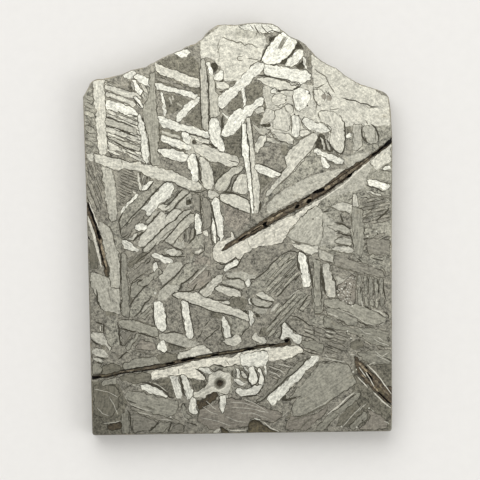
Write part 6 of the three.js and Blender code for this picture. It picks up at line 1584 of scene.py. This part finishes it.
def add_sheet(mesh, outline, layers, shift, front):
    """One etched face and its half of the side"""
    inner = offset(outline, -EDGE_INSET)
    points, triangles, tops = sheet_triangles(inner, layers, shift)
    ground = Layer([], GROUND, plessite=1.0)
    owners = [ground] + layers
    level_of = {}

    def height(depth):
        return THICKNESS - depth if front else depth

    def corner(index, layer):
        key = (index, round(layer.depth, 3))
        if key not in level_of:
            x, y = points[index]
            depth = max(0.0, layer.depth + floor_bumps(x, y, layer.tone))
            level_of[key] = mesh.point(x, y, height(depth))
        return level_of[key]

    def flat_uv(x, y):
        return (x + UV_CORNER[0]) * UV_SCALE, (y + UV_CORNER[1]) * UV_SCALE

    def values(layer):
        colour = linear(layer.tone, layer.shade) + [METALNESS.get(layer.tone, 1.0)]
        trait = (layer.angle / math.pi, layer.plessite, layer.lines, 0.0)
        return colour, trait

    edges = {}
    for triangle, top in zip(triangles, tops):
        layer = owners[top]
        colour, trait = values(layer)
        order = triangle if front else triangle[::-1]
        corners = [corner(i, layer) for i in order]
        mesh.face(corners, colour, trait, [flat_uv(*points[i]) for i in order])
        for k in range(3):
            a, b = triangle[k], triangle[(k + 1) % 3]
            edges.setdefault((min(a, b), max(a, b)), []).append((a, b, layer))

    rim = {}
    rim_edges = []
    for shared in edges.values():
        a, b, layer = shared[0]
        if len(shared) == 1:
            rim_edges.append((a, b, layer))
            rim[a] = tuple(points[a])
            rim[b] = tuple(points[b])
            continue
        other = shared[1][2]
        if round(layer.depth, 3) == round(other.depth, 3):
            continue
        corners = [corner(a, layer), corner(a, other), corner(b, other), corner(b, layer)]
        colour, trait = values(layer if layer.depth > other.depth else other)
        uvs = [flat_uv(*points[a]), flat_uv(*points[a]), flat_uv(*points[b]), flat_uv(*points[b])]
        if not front:
            corners.reverse()
            uvs.reverse()
        mesh.face(corners, colour, trait, uvs)

    sides = nearest_normals(inner, rim)
    columns = {}

    def column(index, layer):
        key = (index, round(layer.depth, 3))
        if key not in columns:
            x, y = points[index]
            nx, ny, along = sides[index]
            rows = [corner(index, layer)]
            for down, inset in SIDE_ROWS + ((THICKNESS / 2 + SIDE_OVERLAP, 0.0),):
                z = height(down)
                if down <= layer.depth + 0.1 and layer.depth > 0.05:
                    z = height(layer.depth + 0.1 + down * 0.01)
                dent = 0.03 * abs(noise.noise(Vector((x * 0.9, y * 0.9, z * 1.3))))
                out = EDGE_INSET - inset - 0.004 - dent * (1 if inset == 0 else 0.3)
                rows.append(mesh.point(x + nx * out, y + ny * out, z))
            columns[key] = rows
        return columns[key]

    total = len(SIDE_ROWS) + 1
    for a, b, layer in rim_edges:
        first, second = column(a, layer), column(b, layer)
        start, end = sides[a][2], sides[b][2]
        if abs(end - start) > UV_ROW / 2:
            end = start
        strip = math.floor(min(start, end) / UV_ROW)
        base_v = (UV_SIDE_START + strip * UV_SIDE_STEP) * UV_SCALE
        for k in range(total):
            corners = [first[k], first[k + 1], second[k + 1], second[k]]
            low, high = k / total * UV_SIDE_WIDTH, (k + 1) / total * UV_SIDE_WIDTH
            u0, u1 = (start - strip * UV_ROW) * UV_SCALE, (end - strip * UV_ROW) * UV_SCALE
            uvs = [(u0, base_v + low * UV_SCALE), (u0, base_v + high * UV_SCALE),
                   (u1, base_v + high * UV_SCALE), (u1, base_v + low * UV_SCALE)]
            if not front:
                corners.reverse()
                uvs.reverse()
            tone = layer.tone if layer.tone in DEEP and k == 0 else GROUND
            colour = linear(tone, 1.0) + [METALNESS.get(tone, 1.0)]
            mesh.face(corners, colour, (0.0, 0.0, 0.0, 1.0), uvs)


def build_face(outline, layers, front):
    """One etched face of the slice with its half of the side, as one object"""
    name = "etched_front" if front else "etched_back"
    mesh = SliceMesh()
    add_sheet(mesh, outline, layers, (0.0, 0.0) if front else BACK_SHIFT, front)
    data = bpy.data.meshes.new(name)
    data.from_pydata(mesh.points, [], mesh.faces)
    tone = data.attributes.new("tone", "FLOAT_COLOR", "FACE")
    tone.data.foreach_set("color", np.array(mesh.colours, dtype=np.float32).ravel())
    trait = data.attributes.new("trait", "FLOAT_COLOR", "FACE")
    trait.data.foreach_set("color", np.array(mesh.traits, dtype=np.float32).ravel())
    layer = data.uv_layers.new(name="OFBake")
    layer.data.foreach_set("uv", np.array(mesh.uvs, dtype=np.float32).ravel())
    piece = bpy.data.objects.new(name, data)
    bpy.context.scene.collection.objects.link(piece)
    return piece


class Nodes:
    """Short names for building a node tree"""

    def __init__(self, material):
        material.use_nodes = True
        self.tree = material.node_tree
        self.tree.nodes.clear()

    def add(self, kind, inputs=None, **settings):
        node = self.tree.nodes.new(kind)
        for name, value in settings.items():
            setattr(node, name, value)
        for name, value in (inputs or {}).items():
            if isinstance(value, bpy.types.NodeSocket):
                self.tree.links.new(value, node.inputs[name])
            else:
                node.inputs[name].default_value = value
        return node

    def maths(self, operation, a, b=0.0, clamp=False):
        return self.add("ShaderNodeMath", {0: a, 1: b}, operation=operation, use_clamp=clamp).outputs[0]

    def noise(self, place, scale, detail=3.0, roughness=0.55, distortion=0.0):
        inputs = {"Vector": place, "Scale": scale, "Detail": detail, "Roughness": roughness,
                  "Distortion": distortion}
        return self.add("ShaderNodeTexNoise", inputs).outputs["Fac"]

    def spread(self, value, low, high, to_low=0.0, to_high=1.0):
        inputs = {"Value": value, "From Min": low, "From Max": high, "To Min": to_low, "To Max": to_high}
        return self.add("ShaderNodeMapRange", inputs, clamp=True).outputs["Result"]

    def mix(self, share, a, b):
        """A mix of two colours; the mix node has its colour sockets at these places"""
        node = self.tree.nodes.new("ShaderNodeMix")
        node.data_type = "RGBA"
        for value, socket in ((share, node.inputs[0]), (a, node.inputs[6]), (b, node.inputs[7])):
            if isinstance(value, bpy.types.NodeSocket):
                self.tree.links.new(value, socket)
            else:
                socket.default_value = value
        return node.outputs[2]

    def times(self, colour, factor):
        """A colour made lighter or darker by a number"""
        return self.add("ShaderNodeVectorMath", {0: colour, "Scale": factor}, operation="SCALE").outputs[0]


def iron_material():
    """Etched iron-nickel: satin metal with fine etch lines, mottled fields and brown oxide"""
    material = bpy.data.materials.new("etched_iron")
    nodes = Nodes(material)
    place = nodes.add("ShaderNodeTexCoord").outputs["Object"]
    place = nodes.add("ShaderNodeVectorMath", {0: place, "Scale": 1 / MM}, operation="SCALE").outputs[0]
    tone = nodes.add("ShaderNodeAttribute", attribute_name="tone")
    trait = nodes.add("ShaderNodeAttribute", attribute_name="trait")
    parts = nodes.add("ShaderNodeSeparateColor", {0: trait.outputs["Color"]})
    angle, plessite, lines = parts.outputs[0], parts.outputs[1], parts.outputs[2]
    side = trait.outputs["Alpha"]
    metal = tone.outputs["Alpha"]

    # Fine parallel lines that the acid draws along each bar
    turn = nodes.maths("MULTIPLY", angle, math.pi)
    flat = nodes.add("ShaderNodeSeparateXYZ", {0: place})
    across = nodes.maths(
        "SUBTRACT",
        nodes.maths("MULTIPLY", flat.outputs[1], nodes.maths("COSINE", turn)),
        nodes.maths("MULTIPLY", flat.outputs[0], nodes.maths("SINE", turn)),
    )
    bend = nodes.noise(place, 0.9, detail=2.0)
    phase = nodes.maths("ADD", nodes.maths("MULTIPLY", across, 26.0), nodes.maths("MULTIPLY", bend, 9.0))
    line_wave = nodes.maths("SINE", phase)
    line_break = nodes.spread(nodes.noise(place, 2.1, detail=2.0), 0.45, 0.65)
    line_field = nodes.maths("MULTIPLY", nodes.maths("MULTIPLY", line_wave, line_break), lines)

    # Broken streaks along each bar
    length = nodes.maths(
        "ADD",
        nodes.maths("MULTIPLY", flat.outputs[0], nodes.maths("COSINE", turn)),
        nodes.maths("MULTIPLY", flat.outputs[1], nodes.maths("SINE", turn)),
    )
    streak_place = nodes.add("ShaderNodeCombineXYZ", {0: length, 1: nodes.maths("MULTIPLY", across, 4.5)})
    streak = nodes.spread(nodes.noise(streak_place.outputs[0], 1.1, detail=3.0), 0.36, 0.64, -1.0, 1.0)
    streak_field = nodes.maths("MULTIPLY", streak, nodes.maths("ADD", lines, 0.35))

    # Speckle of the etched grain, cloudy patches, and the fine mesh inside the dull fields
    speckle = nodes.noise(place, 3.8, detail=5.0, roughness=0.85)
    cloud = nodes.noise(place, 0.55, detail=3.0)
    patch = nodes.noise(place, 1.5, detail=4.0, roughness=0.65, distortion=0.6)
    mesh_cells = nodes.add(
        "ShaderNodeTexVoronoi", {"Vector": place, "Scale": 3.4, "Randomness": 1.0},
        feature="DISTANCE_TO_EDGE",
    ).outputs["Distance"]
    mesh_lines = nodes.spread(mesh_cells, 0.0, 0.12, -1.0, 0.0)

    fleck = nodes.spread(speckle, 0.38, 0.62, -0.36, 0.32)
    light = nodes.maths("ADD", 1.0, nodes.maths("MULTIPLY", fleck, nodes.maths("ADD", plessite, 0.75)))
    light = nodes.maths("ADD", light, nodes.spread(cloud, 0.3, 0.7, -0.05, 0.05))
    patchy = nodes.spread(patch, 0.32, 0.68, -0.2, 0.2)
    light = nodes.maths("ADD", light, nodes.maths("MULTIPLY", patchy, nodes.maths("ADD", plessite, 0.45)))
    light = nodes.maths("ADD", light, nodes.maths("MULTIPLY", line_field, 0.06))
    light = nodes.maths("ADD", light, nodes.maths("MULTIPLY", streak_field, 0.13))
    light = nodes.maths(
        "ADD", light, nodes.maths("MULTIPLY", nodes.maths("MULTIPLY", mesh_lines, plessite), 0.1),
    )

    # Painted shade: the colour is made brighter toward the top of the slice and darker toward the bottom,
    # darker at the lower left, and darker again along the strip by the bottom edge, most of all at its left
    height = nodes.spread(flat.outputs[1], -22.0, 20.0, 0.81, 1.09)
    light = nodes.maths("MULTIPLY", light, height)
    left = nodes.spread(flat.outputs[0], -17.0, -9.0, 0.13, 0.0)
    lower = nodes.spread(flat.outputs[1], 0.0, 5.0, 1.0, 0.0)
    light = nodes.maths("MULTIPLY", light, nodes.maths("SUBTRACT", 1.0, nodes.maths("MULTIPLY", left, lower)))
    foot = nodes.spread(flat.outputs[1], -22.5, -19.0, 0.2, 0.0)
    foot_shade_left_share = nodes.spread(flat.outputs[0], -10.0, 14.0, 1.0, 0.3)
    painted_foot_shade = nodes.maths("MULTIPLY", foot, foot_shade_left_share)
    light = nodes.maths("MULTIPLY", light, nodes.maths("SUBTRACT", 1.0, painted_foot_shade))

    # Saw marks run around the cut side
    saw = nodes.add("ShaderNodeMapping", {0: place, "Scale": (0.5, 0.5, 14)})
    saw_grain = nodes.noise(saw.outputs[0], 1.0, detail=3.0)
    saw_tone = nodes.maths("MULTIPLY", nodes.spread(saw_grain, 0.36, 0.64, -0.2, 0.16), side)
    light = nodes.maths("ADD", light, saw_tone)
    colour = nodes.times(tone.outputs["Color"], light)

    # Brown tarnish in small clouds, more of it on the side
    tarnish_place = nodes.noise(place, 0.8, detail=5.0, roughness=0.7)
    side_tarnish = nodes.maths("MULTIPLY", nodes.spread(tarnish_place, 0.48, 0.62, 0.0, 0.55), side)
    tarnish = nodes.maths("ADD", nodes.spread(tarnish_place, 0.6, 0.8, 0.0, 0.35), side_tarnish, clamp=True)
    tarnished = nodes.add(
        "ShaderNodeVectorMath", {0: colour, 1: (0.82, 0.7, 0.5)}, operation="MULTIPLY",
    ).outputs[0]
    colour = nodes.mix(tarnish, colour, tarnished)

    # Hairline scratches
    scratch_place = nodes.add("ShaderNodeMapping", {0: place, "Rotation": (0, 0, 0.5), "Scale": (0.25, 9, 1)})
    scratch = nodes.spread(nodes.noise(scratch_place.outputs[0], 1.0, detail=2.0), 0.65, 0.71)
    colour = nodes.times(colour, nodes.maths("ADD", 1.0, nodes.maths("MULTIPLY", scratch, 0.15)))

    oxide_grain = nodes.noise(place, 3.2, detail=5.0, roughness=0.75)
    oxide_colour = nodes.times(tone.outputs["Color"], nodes.spread(oxide_grain, 0.4, 0.6, 0.35, 1.75))
    colour = nodes.mix(metal, oxide_colour, colour)

    rough = nodes.spread(speckle, 0.3, 0.7, 0.42, 0.56)
    rough = nodes.maths("ADD", rough, nodes.maths("MULTIPLY", plessite, 0.06))
    rough = nodes.maths("SUBTRACT", rough, nodes.maths("MULTIPLY", scratch, 0.08))
    rough = nodes.maths("ADD", rough, nodes.maths("MULTIPLY", nodes.maths("SUBTRACT", 1.0, metal), 0.3))

    saw_marks = nodes.maths("MULTIPLY", saw_grain, side)
    relief = nodes.maths("ADD", nodes.maths("MULTIPLY", speckle, 0.6), nodes.maths("MULTIPLY", patch, 0.8))
    relief = nodes.maths("ADD", relief, nodes.maths("MULTIPLY", line_field, 0.12))
    relief = nodes.maths("ADD", relief, nodes.maths("MULTIPLY", saw_marks, 1.5))
    relief = nodes.maths(
        "ADD", relief, nodes.maths("MULTIPLY", oxide_grain, nodes.maths("SUBTRACT", 4.0, nodes.maths(
            "MULTIPLY", metal, 4.0))),
    )
    bump = nodes.add("ShaderNodeBump", {"Height": relief, "Strength": 0.5, "Distance": 0.02 * MM})

    shader = nodes.add("ShaderNodeBsdfPrincipled", {
        "Base Color": colour,
        "Roughness": rough,
        "Metallic": nodes.maths("MULTIPLY", metal, 0.85),
        "Normal": bump.outputs[0],
    })
    nodes.add("ShaderNodeOutputMaterial", {"Surface": shader.outputs[0]})
    return material


def plain_material(name, colour, roughness):
    """One colour with a faint grain"""
    material = bpy.data.materials.new(name)
    nodes = Nodes(material)
    place = nodes.add("ShaderNodeTexCoord").outputs["Object"]
    grain = nodes.noise(place, 900.0, detail=2.0)
    shade = nodes.spread(grain, 0.3, 0.7, 0.98, 1.0)
    tinted = nodes.add("ShaderNodeVectorMath", {0: colour, "Scale": shade}, operation="SCALE").outputs[0]
    shader = nodes.add("ShaderNodeBsdfPrincipled", {"Base Color": tinted, "Roughness": roughness})
    nodes.add("ShaderNodeOutputMaterial", {"Surface": shader.outputs[0]})
    return material


# Half the width of the floor in metres, and how far below the slice it lies in millimetres
FLOOR_HALF = 1.5
FLOOR_DROP = 0.02


def add_floor():
    """Plain pale floor that the slice lies on, a hair below its back face"""
    half = FLOOR_HALF
    down = -FLOOR_DROP * MM
    data = bpy.data.meshes.new("floor")
    corners = [(-half, -half, down), (half, -half, down), (half, half, down), (-half, half, down)]
    data.from_pydata(corners, [], [(0, 1, 2, 3)])
    floor = bpy.data.objects.new("floor", data)
    bpy.context.scene.collection.objects.link(floor)
    data.materials.append(plain_material("floor_paper", (0.74, 0.73, 0.71), 0.8))


def add_light(name, place, size, power):
    """Large soft lamp that faces the slice"""
    data = bpy.data.lights.new(name, "AREA")
    data.shape = "DISK"
    data.size = size
    data.energy = power
    lamp = bpy.data.objects.new(name, data)
    lamp.location = place
    lamp.rotation_euler = (-Vector(place)).to_track_quat("-Z", "Y").to_euler()
    bpy.context.scene.collection.objects.link(lamp)


def add_studio():
    """Soft room light and two large lamps"""
    world = bpy.data.worlds.new("studio")
    world.use_nodes = True
    background = world.node_tree.nodes["Background"]
    background.inputs["Color"].default_value = (1.0, 0.99, 0.97, 1.0)
    background.inputs["Strength"].default_value = 0.74
    bpy.context.scene.world = world
    bpy.context.scene.view_settings.view_transform = "Standard"
    add_light("key_lamp", (-0.12, 0.42, 0.5), 0.7, 2.4)
    add_light("fill_lamp", (0.45, -0.1, 0.45), 0.4, 0.8)


def add_camera():
    """Straight above the front face, turned as in the photograph"""
    data = bpy.data.cameras.new("camera")
    data.sensor_width = SENSOR
    data.lens = SENSOR * CAMERA_HEIGHT / VIEW_WIDTH
    camera = bpy.data.objects.new("camera", data)
    middle_x = (VIEW_MIDDLE[0] - CENTRE[0]) * MM
    middle_y = (VIEW_MIDDLE[1] - CENTRE[1]) * MM
    camera.location = (middle_x, middle_y, (THICKNESS + CAMERA_HEIGHT) * MM)
    camera.rotation_euler = (0, 0, VIEW_ROLL)
    bpy.context.scene.collection.objects.link(camera)
    bpy.context.scene.camera = camera


add_camera()
add_studio()
add_floor()
outline = slice_ring()
layers = etch_layers()
iron = iron_material()
for front in (True, False):
    piece = build_face(outline, layers, front)
    piece.data.materials.append(iron)
    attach(piece, "root")
    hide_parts(NODE)
